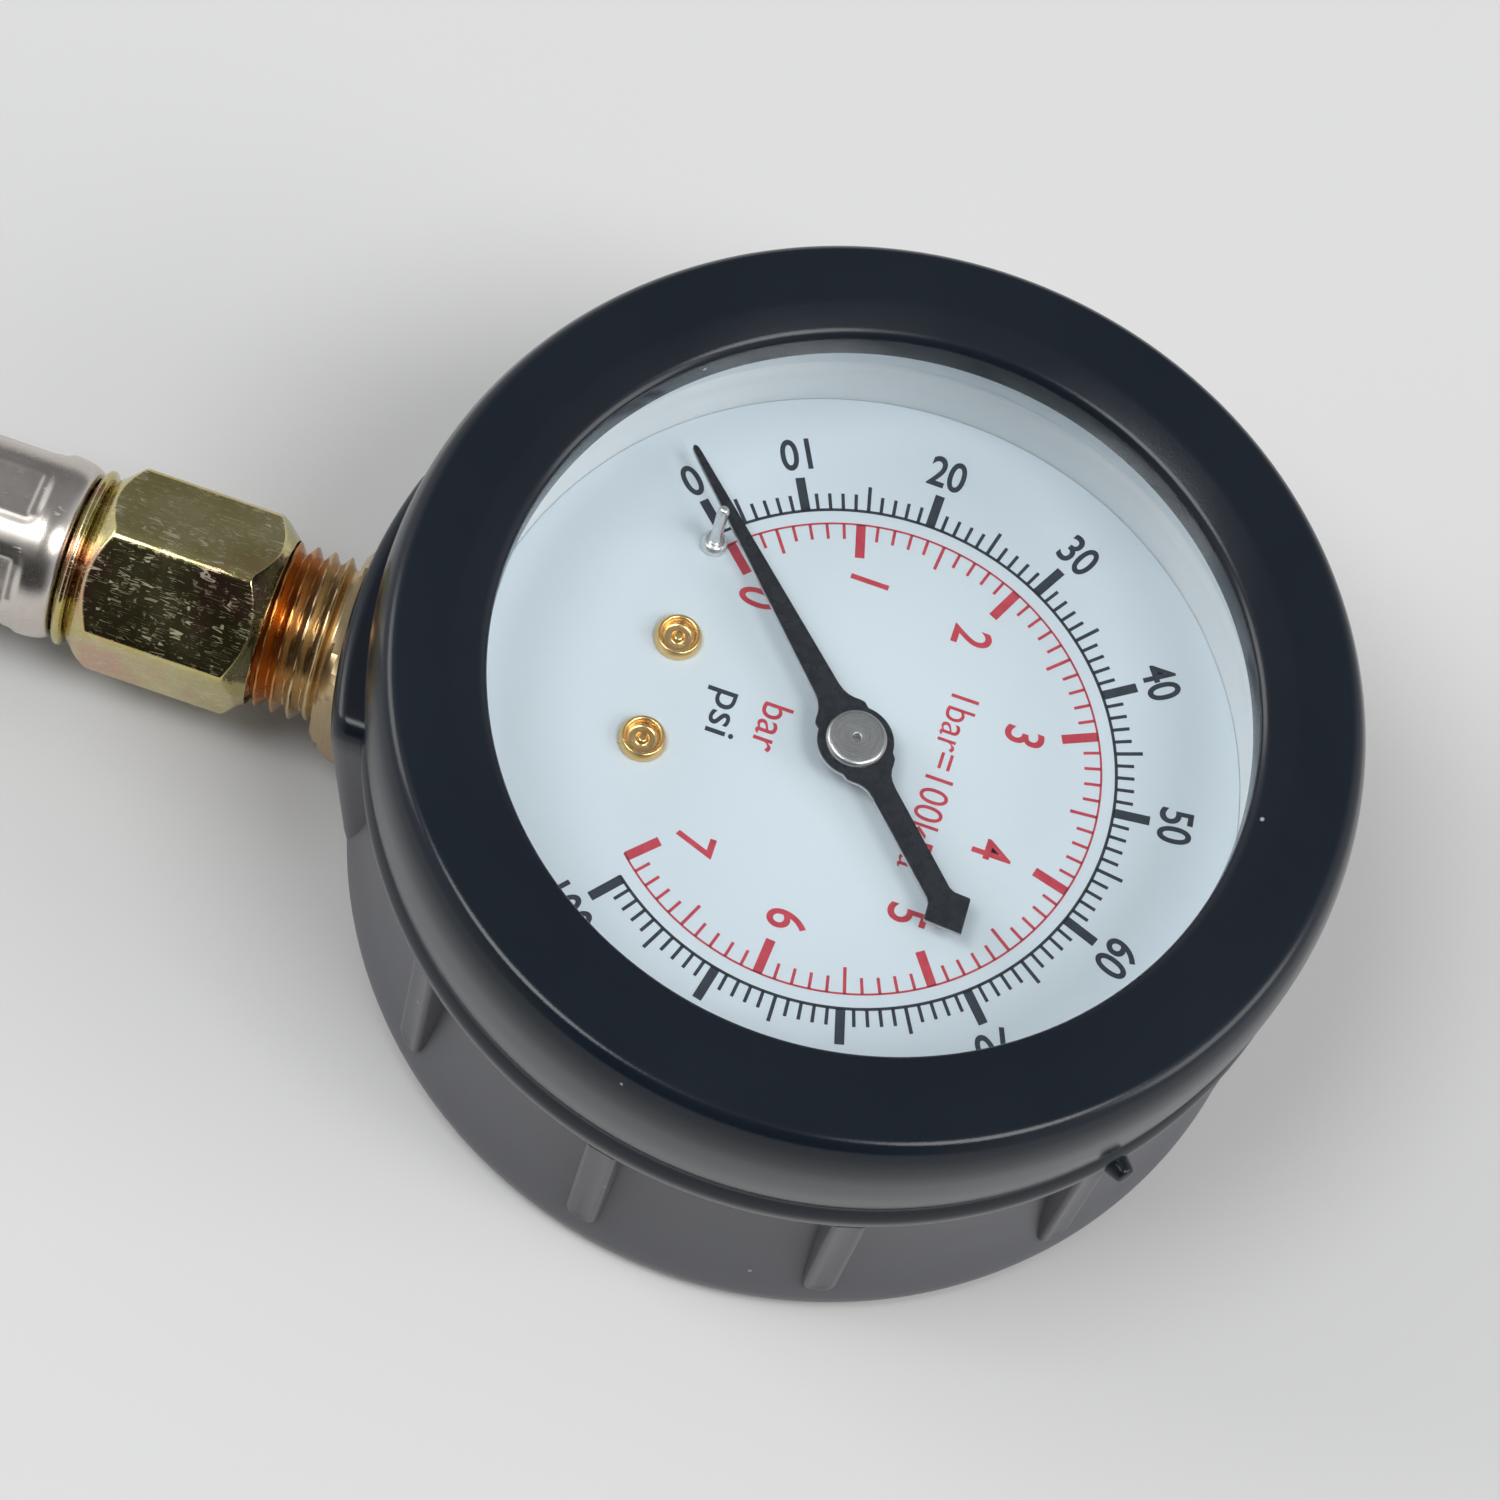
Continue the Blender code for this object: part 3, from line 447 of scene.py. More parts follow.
stem_brass.bump(lathe_lines, 0.25, 0.00003)

# %% Yellow zinc
zinc = Finish("yellow_zinc", Metallic=1.0)
bloom = zinc.group(mottle_group, Scale=210.0, Contrast=0.9)
patch = zinc.group(mottle_group, Scale=95.0, Contrast=1.0)
cuts = zinc.group(scratch_group, Scale=1100.0, Stretch=7.0, Amount=0.62)
fine_cuts = zinc.group(scratch_group, Scale=2600.0, Stretch=9.0, Amount=0.75)
olive = zinc.blend(bloom, (0.52, 0.44, 0.16), (0.66, 0.58, 0.29))
olive = zinc.blend(zinc.between(patch, 0.55, 0.90), olive, (0.60, 0.36, 0.22))
marks = zinc.math("MAXIMUM", zinc.math("MULTIPLY", cuts, 0.8), zinc.math("MULTIPLY", fine_cuts, 0.5))
zinc.colour(zinc.blend(zinc.math("MULTIPLY", marks, 0.6), olive, (0.80, 0.80, 0.66)))
zinc.roughness(zinc.math("ADD", zinc.level(bloom, 0.11, 0.20), zinc.math("MULTIPLY", marks, 0.35)))
zinc.bump(marks, 0.12, 0.00002)

# %% [markdown]
# ### Grey plastic and gasket
# The wall round the dial and the seal under the window are plain, matt and pale.

# %% Grey plastic and gasket
grey = clouded("spacer_plastic", 70.0, 0.4, ((0.74, 0.77, 0.79), (0.80, 0.83, 0.84)),
               (0.5, 0.62), IOR=1.48)
gasket_finish = clouded("gasket_rubber", 120.0, 0.5, ((0.66, 0.71, 0.75), (0.72, 0.77, 0.80)),
                        (0.5, 0.65), IOR=1.48)

# %% [markdown]
# ### Glass
# The window is thin flat glass. Rays that carry light to the dial pass a plain transparent
# shader instead, so the dial is lit as through real glass, without noise.

# %% Window glass
window_finish = clouded("window_glass", 25.0, 0.3, ((0.97, 0.985, 0.985), (0.985, 0.995, 0.995)),
                        (0.0, 0.01), IOR=1.5, Metallic=0.0, Transmission_Weight=1.0)
clear = window_finish.add("ShaderNodeBsdfTransparent", {"Color": (0.97, 0.985, 0.985, 1.0)})
path = window_finish.add("ShaderNodeLightPath", {}).outputs
either = window_finish.math("MAXIMUM", path["Is Shadow Ray"], path["Is Diffuse Ray"])
choose = window_finish.add("ShaderNodeMixShader", {
    0: either, 1: window_finish.shader.outputs[0], 2: clear.outputs[0]})
surface = window_finish.tree.nodes["Material Output"].inputs["Surface"]
window_finish.feed(surface, choose.outputs[0])
print("finishes:", len(bpy.data.materials))

# %% [markdown]
# ## Mesh helpers
# Most pieces are turned. A Screw modifier could spin them, but a helper that spins a soft-cornered
# outline keeps the corners' radii in hand. Other pieces are rings of points joined by quads.
# The stem's pieces are made on +Z first and then laid along -Y.

# %% Outlines with soft corners
def soften(outline, closed):
    """Rounds each corner of (x, y, radius) points with a short curve."""
    count = len(outline)
    points = []
    for index, (x, y, radius) in enumerate(outline):
        at_end = index in (0, count - 1) and not closed
        if at_end or radius <= 0.0:
            points.append((x, y))
            continue
        corner = Vector((x, y))
        before = Vector(outline[index - 1][:2]) - corner
        after = Vector(outline[(index + 1) % count][:2]) - corner
        reach_in = min(radius, 0.48 * before.length)
        reach_out = min(radius, 0.48 * after.length)
        start = corner + before.normalized() * reach_in
        end = corner + after.normalized() * reach_out
        for step in range(5):
            share = step / 4.0
            low = start.lerp(corner, share)
            point = low.lerp(corner.lerp(end, share), share)
            points.append((point.x, point.y))
    return points
# %% Pieces from rings
def welded(mesh, spacing=0.000001, outwards=True, close=False):
    """Merges doubles, closes open ends if asked, and turns the faces outwards."""
    shape = bmesh.new()
    shape.from_mesh(mesh)
    bmesh.ops.remove_doubles(shape, verts=shape.verts, dist=spacing)
    if close:
        open_edges = [edge for edge in shape.edges if len(edge.link_faces) == 1]
        bmesh.ops.holes_fill(shape, edges=open_edges, sides=0)
    if outwards:
        bmesh.ops.recalc_face_normals(shape, faces=shape.faces)
    shape.to_mesh(mesh)
    shape.free()


def smoothed(mesh, sharp):
    """Smooth shading, with edges past the sharp angle in degrees left crisp."""
    mesh.shade_smooth()
    mesh.set_sharp_from_angle(angle=math.radians(sharp))


def new_piece(name, verts, faces, finish, sharp=38.0):
    """A smooth mesh object with one finish. Sizes arrive in millimetres."""
    mesh = bpy.data.meshes.new(name)
    mesh.from_pydata([tuple(c * MM for c in v) for v in verts], [], faces)
    welded(mesh)
    smoothed(mesh, sharp)
    mesh.materials.append(finish.material)
    return placed(name, mesh)


def ring_faces(rings, size, looped=False, closed=True):
    """Quads between rings. Looped joins the last ring to the first, closed shuts each ring."""
    faces = []
    for level in range(rings if looped else rings - 1):
        here, there = level * size, (level + 1) % rings * size
        for index in range(size if closed else size - 1):
            following = (index + 1) % size
            faces.append((here + index, here + following, there + following, there + index))
    return faces


def end_faces(rings, size):
    """A face over the first ring and one over the last."""
    return [tuple(range(size)), tuple(range((rings - 1) * size, rings * size))]


def turned(name, outline, finish, steps=128, radius=0.15, centre=(0.0, 0.0), sharp=38.0):
    """Spins an outline of (radius, height) or (radius, height, softness) points about Z."""
    closed = outline[0][0] > 0.0 or outline[-1][0] > 0.0
    profile = soften([(*point, radius) if len(point) == 2 else point for point in outline], closed)
    verts = []
    for step in range(steps):
        angle = 2.0 * math.pi * step / steps
        verts += [(centre[0] + reach * math.cos(angle), centre[1] + reach * math.sin(angle), height)
                  for reach, height in profile]
    faces = ring_faces(steps, len(profile), looped=True, closed=closed)
    return new_piece(name, verts, faces, finish, sharp)


def lay_on_stem(piece):
    """Lays a piece made on +Z along the stem, in its mesh."""
    turn = Matrix.Rotation(math.radians(90.0), 4, "X")
    piece.data.transform(Matrix.Translation((0.0, 0.0, STEM_HEIGHT * MM)) @ turn)
    return piece


def finish_piece(piece, body, slot, *nodes):
    """Says which body a piece rides on and which nodes it replaces. The slot, the finish it stands for,
    is not used.
    """
    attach(piece, body)
    if nodes:
        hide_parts(*nodes)
    print(piece.name, len(piece.data.polygons), "faces")
    return piece


def applied(piece):
    """Turns live modifiers into plain mesh."""
    bpy.context.view_layer.update()
    graph = bpy.context.evaluated_depsgraph_get()
    mesh = bpy.data.meshes.new_from_object(piece.evaluated_get(graph))
    piece.modifiers.clear()
    piece.data = mesh
    return piece

# %% [markdown]
# ## A tree that repeats a piece round the dial
# Ribs and scale marks are one shape repeated round a circle. An Array modifier with an empty
# would do, but it can't leave out every n-th. One Geometry Nodes tree does both: it makes a row of
# points, stores each one's turn, leaves some out and places the pattern object on the rest.

# %% Round pattern tree
GEOMETRY = ("Geometry", "Geometry")


def end_tree(net, geometry, given, result):
    """Ends a tree in real geometry with its finish, because instances are lost on export."""
    real = net.add("GeometryNodeRealizeInstances", {"Geometry": geometry}).outputs["Geometry"]
    coated = net.add("GeometryNodeSetMaterial", {"Geometry": real, "Material": given["Finish"]})
    net.feed(result["Geometry"], coated.outputs["Geometry"])
    return net.tree


def round_tree():
    net, given, result = new_tree("Repeat round the dial", "GeometryNodeTree", [
        GEOMETRY, ("Pattern", "Object"), ("Count", "Int"), ("First angle", "Float"),
        ("Step angle", "Float"), ("Leave out every", "Int"), ("Leave out from", "Int"),
        ("Finish", "Material")], [GEOMETRY])
    points = net.add("GeometryNodePoints", {"Count": given["Count"]}).outputs[0]
    index = net.add("GeometryNodeInputIndex", {}).outputs[0]
    angle = net.math("ADD", given["First angle"], net.math("MULTIPLY", index, given["Step angle"]))
    stored = net.add("GeometryNodeStoreNamedAttribute", {
        "Geometry": points, "Name": "turn", "Value": net.math("RADIANS", angle)}, data_type="FLOAT")
    shifted = net.math("ADD", index, given["Leave out from"])
    left = net.math("ABSOLUTE", net.math("MODULO", shifted, given["Leave out every"]))
    used = net.math("GREATER_THAN", given["Leave out every"], 0.5)
    remove = net.add("GeometryNodeDeleteGeometry", {
        "Geometry": stored.outputs["Geometry"],
        "Selection": net.math("MULTIPLY", net.math("LESS_THAN", left, 0.5), used)})
    named = net.add("GeometryNodeInputNamedAttribute", {"Name": "turn"}, data_type="FLOAT")
    spin = net.add("ShaderNodeCombineXYZ", {"Z": named.outputs["Attribute"]})
    pattern = net.add("GeometryNodeObjectInfo", {"Object": given["Pattern"]})
    place = net.add("GeometryNodeInstanceOnPoints", {
        "Points": remove.outputs["Geometry"], "Instance": pattern.outputs["Geometry"],
        "Rotation": spin.outputs[0]})
    return end_tree(net, place.outputs["Instances"], given, result)


ROUND = round_tree()


def grown(name, tree, values):
    """A plain mesh object from a tree. Inputs are set by identifier before it is evaluated."""
    piece = placed(name, bpy.data.meshes.new(name))
    modifier = piece.modifiers.new("tree", "NODES")
    modifier.node_group = tree
    for item in tree.interface.items_tree:
        if item.item_type == "SOCKET" and item.in_out == "INPUT" and item.name in values:
            modifier[item.identifier] = values[item.name]
    return applied(piece)


def repeated(name, pattern, count, first, step, finish, every=0, offset=0):
    """The pattern object repeated round Z. The pattern itself is removed."""
    piece = grown(name, ROUND, {
        "Pattern": pattern, "Count": count, "First angle": first, "Step angle": step,
        "Leave out every": every, "Leave out from": offset, "Finish": finish.material})
    bpy.data.objects.remove(pattern)
    return piece


# %% [markdown]
# ## The boot
# The boot is one rubber moulding: a flat rim that laps over the window, a round-shouldered side,
# a glossy bead under it and a skirt that flares to the foot. It could be modelled with loop cuts,
# but it is round, so its outline is spun, and a rounded opening is cut for the stem.

# %% Boot body
RIM_INNER = 29.3
boot_outline = [
    (0.0, 2.6, 0.0), (32.8, 2.6, 0.0), (32.8, 23.7, 0.0), (34.6, 23.7, 0.0), (34.6, 34.5, 0.0),
    (29.9, 34.5, 0.0), (29.9, GLASS_TOP + 0.3, 0.0), (RIM_INNER, GLASS_TOP + 0.3, 0.15),
    (RIM_INNER, 36.05, 0.25), (29.75, 36.45, 0.3), (32.3, 37.2, 0.5), (34.5, BOOT_TOP, 1.0),
    (36.45, 37.28, 0.45), (37.05, 36.75, 0.35), (37.6, 35.6, 0.9), (38.0, 33.4, 1.5),
    (37.95, 29.0, 2.0), (37.55, 25.3, 0.9), (37.2, 24.35, 0.35), (37.55, 23.75, 0.3),
    (37.85, 22.9, 0.5), (37.75, 21.5, 0.6), (37.3, 20.55, 0.45), (36.5, 20.15, 0.3),
    (35.7, 20.5, 0.35), (35.55, 18.5, 0.6), (35.85, 13.0, 3.0), (36.7, 7.0, 2.0),
    (37.45, 3.6, 1.0), (37.7, 2.1, 0.8), (37.35, 0.7, 0.6), (36.3, 0.0, 0.5), (0.0, 0.0, 0.0)]
boot = turned("boot_body", boot_outline, rubber, steps=256, sharp=50.0)


def rounded_box(name, low, high, radius):
    """A box with its edges along Y rounded, as a cutting tool."""
    shape = bmesh.new()
    bmesh.ops.create_cube(shape, size=1.0)
    size = (Vector(high) - Vector(low)) * MM
    middle = (Vector(high) + Vector(low)) * MM / 2.0
    bmesh.ops.scale(shape, vec=size, verts=shape.verts)
    edges = [e for e in shape.edges
             if abs(e.verts[0].co.x - e.verts[1].co.x) + abs(e.verts[0].co.z - e.verts[1].co.z) < 1e-6]
    bmesh.ops.bevel(shape, geom=edges, offset=radius * MM, segments=6, affect="EDGES")
    bmesh.ops.translate(shape, vec=middle, verts=shape.verts)
    bmesh.ops.recalc_face_normals(shape, faces=shape.faces)
    mesh = bpy.data.meshes.new(name)
    shape.to_mesh(mesh)
    shape.free()
    return placed(name, mesh)


def cut(piece, tool):
    modifier = piece.modifiers.new("cut", "BOOLEAN")
    modifier.object = tool
    modifier.solver = "EXACT"
    applied(piece)
    bpy.data.objects.remove(tool)


cut(boot, rounded_box("opening", (-9.6, -46.0, 2.95), (9.6, -26.0, 19.25), 2.6))
finish_piece(boot, "gauge", "black_rubber", "rubber_boot")

# %% [markdown]
# ### Grip ribs
# Ten ribs stand round the skirt. Each is a short bar under the bead with a round lower end, a
# slightly dished face and soft edges, and the round pattern tree places them.

# %% Ribs
RIB_HALF = 1.35
RIB_FOOT = 4.3
RIB_FACE = 37.55
RIB_ROOT = 34.6
RIB_TOP = 20.9


def rib_loop(inset, reach):
    """The rib's outline seen from outside, moved in by inset, at a distance from the axis."""
    half = RIB_HALF - inset
    loop = []
    for step in range(13):
        angle = math.pi + math.pi * step / 12.0
        loop.append((reach, half * math.cos(angle), RIB_FOOT + RIB_HALF + half * math.sin(angle)))
    for share in (0.2, 0.4, 0.6, 0.8, 1.0):
        loop.append((reach, half, RIB_FOOT + RIB_HALF + (RIB_TOP - RIB_FOOT - RIB_HALF) * share))
    for share in (1.0, 0.8, 0.6, 0.4, 0.2):
        loop.append((reach, -half, RIB_FOOT + RIB_HALF + (RIB_TOP - RIB_FOOT - RIB_HALF) * share))
    return loop


def one_rib():
    """A rib on +X, in rings from its root out to its dished face."""
    steps = [(0.0, RIB_ROOT - RIB_FACE), (0.0, -0.4), (0.08, -0.16), (0.22, -0.03), (0.4, 0.0),
             (0.62, -0.05), (0.95, -0.14)]
    rings = [rib_loop(inset, RIB_FACE + out) for inset, out in steps]
    size = len(rings[0])
    verts = [point for ring in rings for point in ring]
    faces = ring_faces(len(rings), size) + end_faces(len(rings), size)
    return new_piece("rib_pattern", verts, faces, rubber, sharp=60.0)


RIB_STEP = 30.0
FIRST_RIB = 287.3 + RIB_STEP
ribs = repeated("boot_ribs", one_rib(), 10, FIRST_RIB, RIB_STEP, rubber)
finish_piece(ribs, "gauge", "black_rubber")

# %% [markdown]
# ### Stem collar and mould nub
# A raised collar frames the stem's opening, and follows the round of the skirt. A small nub of
# flash is left at the bead's parting line.

# %% Collar
def rounded_loop(half, low, high, radius, steps=10):
    """Points of a rounded rectangle in (x, z), anticlockwise."""
    loop = []
    corners = [(half - radius, high - radius, 0.0), (-half + radius, high - radius, 90.0),
               (-half + radius, low + radius, 180.0), (half - radius, low + radius, 270.0)]
    for x, z, start in corners:
        for step in range(steps + 1):
            angle = math.radians(start + 90.0 * step / steps)
            loop.append((x + radius * math.cos(angle), z + radius * math.sin(angle)))
    return loop


def fill_loop(loop, longest):
    """Adds points so that no side of the loop is longer than longest."""
    filled = []
    for index, point in enumerate(loop):
        following = loop[(index + 1) % len(loop)]
        pieces = max(1, math.ceil(math.dist(point, following) / longest))
        for step in range(pieces):
            share = step / pieces
            filled.append((point[0] + (following[0] - point[0]) * share,
                           point[1] + (following[1] - point[1]) * share))
    return filled


def on_round(x, z, reach):
    """The y of a point on the collar's round face, which leans in towards the foot."""
    lean = 2.2 * min(1.0, max(0.0, (21.0 - z) / 18.0)) if reach > 37.0 else 0.0
    return -math.sqrt((reach - lean) ** 2 - x * x)


outer_loop = rounded_loop(12.6, 1.5, 23.9, 1.6)
inner_loop = rounded_loop(9.2, 3.2, 19.0, 2.4)
outer_dense = fill_loop(outer_loop, 0.8)
inner_dense = []
for index, point in enumerate(outer_loop):
    following = (index + 1) % len(outer_loop)
    pieces = max(1, math.ceil(math.dist(point, outer_loop[following]) / 0.8))
    first, second = Vector(inner_loop[index]), Vector(inner_loop[following])
    inner_dense += [tuple(first.lerp(second, step / pieces)) for step in range(pieces)]
# Each ring is (share of the way in, distance from the dial's axis).
collar_rings = [(0.0, 35.0), (0.0, 38.9), (0.03, 39.45), (0.10, 39.85), (0.22, 40.05), (0.5, 40.08),
                (0.8, 40.0), (0.93, 39.7), (1.0, 39.2), (1.0, 34.7)]
verts = []
for share, reach in collar_rings:
    for outside, inside in zip(outer_dense, inner_dense):
        x, z = Vector(outside).lerp(Vector(inside), share)
        verts.append((x, on_round(x, z, reach), z))
faces = ring_faces(len(collar_rings), len(outer_dense), looped=True)
finish_piece(new_piece("boot_collar", verts, faces, rubber, sharp=60.0), "gauge", "black_rubber")

# %% Mould nub
NUB_REACH, NUB_HEIGHT, NUB_ANGLE = 37.6, 21.2, math.radians(50.0)
nub = turned("mould_nub", [(0.0, 1.5, 0.0), (0.75, 1.45, 0.3), (0.95, 0.6, 0.3), (1.2, -0.6, 0.2),
                           (0.0, -0.6, 0.0)], rubber, steps=20)
nub.data.transform(Matrix.Rotation(NUB_ANGLE, 4, "Z") @ Matrix.Rotation(math.radians(80.0), 4, "Y"))
nub.data.transform(Matrix.Translation(Vector((
    NUB_REACH * math.cos(NUB_ANGLE), NUB_REACH * math.sin(NUB_ANGLE), NUB_HEIGHT)) * MM))
finish_piece(nub, "gauge", "black_rubber")

# %% [markdown]
# ## Window, gasket and inner wall
# Under the rim lie a flat window, the gasket that carries it, and a pale plastic wall that
# stands round the dial.

# %% Window and wall
WALL_RADIUS = 30.8
window = turned("window_pane", [(0.0, GLASS_TOP, 0.0), (32.5, GLASS_TOP, 0.0), (33.0, GLASS_TOP, 0.15),
                                (33.0, GLASS_LOW, 0.15), (32.5, GLASS_LOW, 0.0),
                                (0.0, GLASS_LOW, 0.0)], window_finish, steps=192, sharp=18.0)
finish_piece(window, "gauge", "clear_glass", "window_glass")

gasket = turned("window_seal", [(30.5, GLASS_LOW - 0.02), (33.0, GLASS_LOW - 0.02), (33.0, 29.6),
                                (31.4, 29.6), (31.4, 28.8), (30.5, 28.8)], gasket_finish, steps=192)
finish_piece(gasket, "gauge", "grey_plastic", "window_gasket")

wall = turned("dial_wall", [(WALL_RADIUS, 28.75), (31.4, 28.75), (31.4, 20.95), (WALL_RADIUS, 20.95)],
              grey, steps=192)
finish_piece(wall, "gauge", "grey_plastic", "spacer_ring")

# %% [markdown]
# ## The dial
# The dial is an enamelled disc, made here without its four holes. The scales, numbers and words are
# printed: each is a skin of ink a few hundredths of a millimetre thick, made as real geometry.

# %% Dial disc
DIAL_EDGE = WALL_RADIUS - 0.03
dial = turned("dial_disc", [(0.0, DIAL_TOP, 0.0), (30.4, DIAL_TOP, 0.0), (DIAL_EDGE, DIAL_TOP, 0.05),
                            (DIAL_EDGE, DIAL_TOP - 0.5, 0.05), (30.4, DIAL_TOP - 0.5, 0.0),
                            (0.0, DIAL_TOP - 0.5, 0.0)], enamel, steps=192, sharp=18.0)
finish_piece(dial, "gauge", "white_enamel", "dial_plate")

INK_LOW = DIAL_TOP - 0.004
INK_TOP = DIAL_TOP + 0.02


def mark(name, inner, outer, width, finish):
    """One scale mark on +X, from an inner to an outer radius."""
    half = width / 2.0
    corners = [(inner, -half), (outer, -half), (outer, half), (inner, half)]
    verts = [(x, y, z) for z in (INK_LOW, INK_TOP) for x, y in corners]
    faces = [(0, 3, 2, 1), (4, 5, 6, 7), (0, 1, 5, 4), (1, 2, 6, 5), (2, 3, 7, 6), (3, 0, 4, 7)]
    return new_piece(name, verts, faces, finish, sharp=20.0)


def arc_line(name, reach, width, start, end, finish):
    """A printed line along part of a circle."""
    steps = 180
    verts = []
    for step in range(steps + 1):
        angle = math.radians(start + (end - start) * step / steps)
        for radius in (reach - width / 2.0, reach + width / 2.0):
            for height in (INK_LOW, INK_TOP):
                verts.append((radius * math.cos(angle), radius * math.sin(angle), height))
    faces = [(0, 1, 3, 2), (steps * 4, steps * 4 + 2, steps * 4 + 3, steps * 4 + 1)]
    for step in range(steps):
        here, there = step * 4, step * 4 + 4
        for first, second in ((0, 1), (1, 3), (3, 2), (2, 0)):
            faces.append((here + first, here + second, there + second, there + first))
    return new_piece(name, verts, faces, finish, sharp=20.0)


# %% [markdown]
# ### Scales
# The black scale reads to 100 and the red one to 7. Marks of one length are one pattern that the
# round tree repeats, and it leaves out every place where a longer mark stands.

# %% Scale marks
PSI_START, PSI_STEP = 234.0, -2.74          # degrees at 0 psi, and for each psi
BAR_START, BAR_STEP = 234.1, -39.74         # the same in bar
ZERO_ANGLE = 226.0
PSI_ARC, BAR_ARC = 20.95, 19.75
psi_end = PSI_START + 100.0 * PSI_STEP
bar_end = BAR_START + 7.0 * BAR_STEP
printed = [
    arc_line("psi_line", PSI_ARC, 0.24, ZERO_ANGLE + 0.9, psi_end - 0.9, black_ink),
    repeated("psi_marks_10", mark("m", PSI_ARC, 23.85, 0.76, black_ink), 10,
             PSI_START + 10.0 * PSI_STEP, 10.0 * PSI_STEP, black_ink),
    repeated("psi_marks_5", mark("m", PSI_ARC, 23.15, 0.29, black_ink), 10,
             PSI_START + 5.0 * PSI_STEP, 10.0 * PSI_STEP, black_ink),
    repeated("psi_marks_1", mark("m", PSI_ARC, 22.38, 0.27, black_ink), 94,
             PSI_START + 6.0 * PSI_STEP, PSI_STEP, black_ink, 5, 1),
    repeated("psi_zero", mark("m", PSI_ARC, 24.0, 0.76, black_ink), 1, ZERO_ANGLE, 1.0, black_ink),
    arc_line("bar_line", BAR_ARC, 0.16, ZERO_ANGLE + 0.9, bar_end - 0.9, red_ink),
    repeated("bar_marks_1", mark("m", 16.85, BAR_ARC, 0.76, red_ink), 7,
             BAR_START + BAR_STEP, BAR_STEP, red_ink),
    repeated("bar_marks_half", mark("m", 17.6, BAR_ARC, 0.26, red_ink), 7,
             BAR_START + 0.5 * BAR_STEP, BAR_STEP, red_ink),
    repeated("bar_marks_tenth", mark("m", 18.42, BAR_ARC, 0.24, red_ink), 66,
             BAR_START + 0.4 * BAR_STEP, 0.1 * BAR_STEP, red_ink, 5, 4),
    repeated("bar_zero", mark("m", 16.95, BAR_ARC, 0.78, red_ink), 1, ZERO_ANGLE - 0.4, 1.0, red_ink)]
for piece in printed:
    finish_piece(piece, "gauge", "black_paint")

# %% [markdown]
# ### Numbers and words
# Text starts as a curve in Blender's own font. It is narrowed, given a little body, made a mesh,
# and only then put in its place, so its object stays at the origin.

# %% Printed text
def text_mesh(name, words, weight):
    """Flat words as a mesh with a body one unit deep, in the font's own units."""
    curve = bpy.data.curves.new(name, "FONT")
    curve.body = words
    curve.offset = weight
    curve.extrude = 0.5
    curve.resolution_u = 6
    text = bpy.data.objects.new(name, curve)
    bpy.context.scene.collection.objects.link(text)
    bpy.context.view_layer.update()
    graph = bpy.context.evaluated_depsgraph_get()
    mesh = bpy.data.meshes.new_from_object(text.evaluated_get(graph))
    bpy.data.objects.remove(text)
    mesh.name = name
    points = np.array([vert.co for vert in mesh.vertices])
    return mesh, points.min(0), points.max(0)


def printed_text(name, words, height, width, place, turn, finish, weight=0.0, sample=None):
    """Words centred on place and turned in degrees. The sample word is height tall, width wide."""
    low, high = text_mesh("sample", sample or words, weight)[1:]
    wide, tall = width / (high[0] - low[0]), height / (high[1] - low[1])
    mesh, low, high = text_mesh(name, words, weight)
    middle = (low + high) / 2.0
    mesh.transform(Matrix.Translation(Vector((*place, (INK_LOW + INK_TOP) / 2.0)) * MM)
                   @ Matrix.Rotation(math.radians(turn), 4, "Z")
                   @ Matrix.Diagonal((wide * MM, tall * MM, (INK_TOP - INK_LOW) * MM, 1.0))
                   @ Matrix.Translation((-middle[0], -middle[1], 0.0)))
    welded(mesh, spacing=0.0000005)
    mesh.materials.clear()
    mesh.materials.append(finish.material)
    return finish_piece(placed(name, mesh), "gauge", "black_paint")


def at(reach, degrees):
    return (reach * math.cos(math.radians(degrees)), reach * math.sin(math.radians(degrees)))


for value in range(0, 101, 10):
    angle = ZERO_ANGLE if value == 0 else PSI_START + value * PSI_STEP
    tops_out = 20 <= value <= 80
    printed_text(f"psi_number_{value}", str(value), 2.75, 1.45, at(25.9, angle),
                 angle - 90.0 if tops_out else angle + 90.0, black_ink, 0.016, "0")

bar_places = [(14.7, -133.6), (14.9, -169.1), (14.3, 154.4), (13.9, 116.6), (13.3, 73.3),
              (13.8, 35.3), (14.9, -2.3), (14.6, -38.9)]
for value, place in enumerate(bar_places):
    printed_text(f"bar_number_{value}", str(value), 3.2, 1.65, at(*place), 0.0, red_ink, 0.012, "0")

printed_text("word_psi", "psi", 3.1, 3.8, (0.2, -10.55), 0.0, black_ink, 0.004)
printed_text("word_bar", "bar", 2.4, 4.1, (0.1, -6.4), 0.0, red_ink, 0.002)
printed_text("word_units", "1bar=100kPa", 2.3, 15.4, (-0.1, 7.15), 0.0, red_ink, -0.002)

# %% [markdown]
# ### Dial screws and stop pin
# Two gilt screws with dished heads hold the dial, and a nickel pin with a small collar stops the
# pointer at zero. All three are turned parts, so each is an outline spun about its own axis.

# %% Dial furniture
for name, x in (("left", -4.57), ("right", 4.57)):
    outline = [(0.0, 22.5, 0.0), (0.32, 22.48, 0.1), (0.5, 22.22, 0.12), (1.0, 22.16, 0.2),
               (1.22, 22.3, 0.1), (1.38, 22.85, 0.15), (1.62, 22.9, 0.12), (1.86, 22.55, 0.15),
               (1.9, 22.06, 0.1), (1.1, 22.05, 0.0), (1.1, 20.3, 0.1), (0.0, 20.3, 0.0)]
    screw = turned("dial_screw_head_" + name, outline, gilt, steps=64, centre=(x, -15.57), sharp=50.0)
    finish_piece(screw, "gauge", "brass", "dial_screw_" + name)

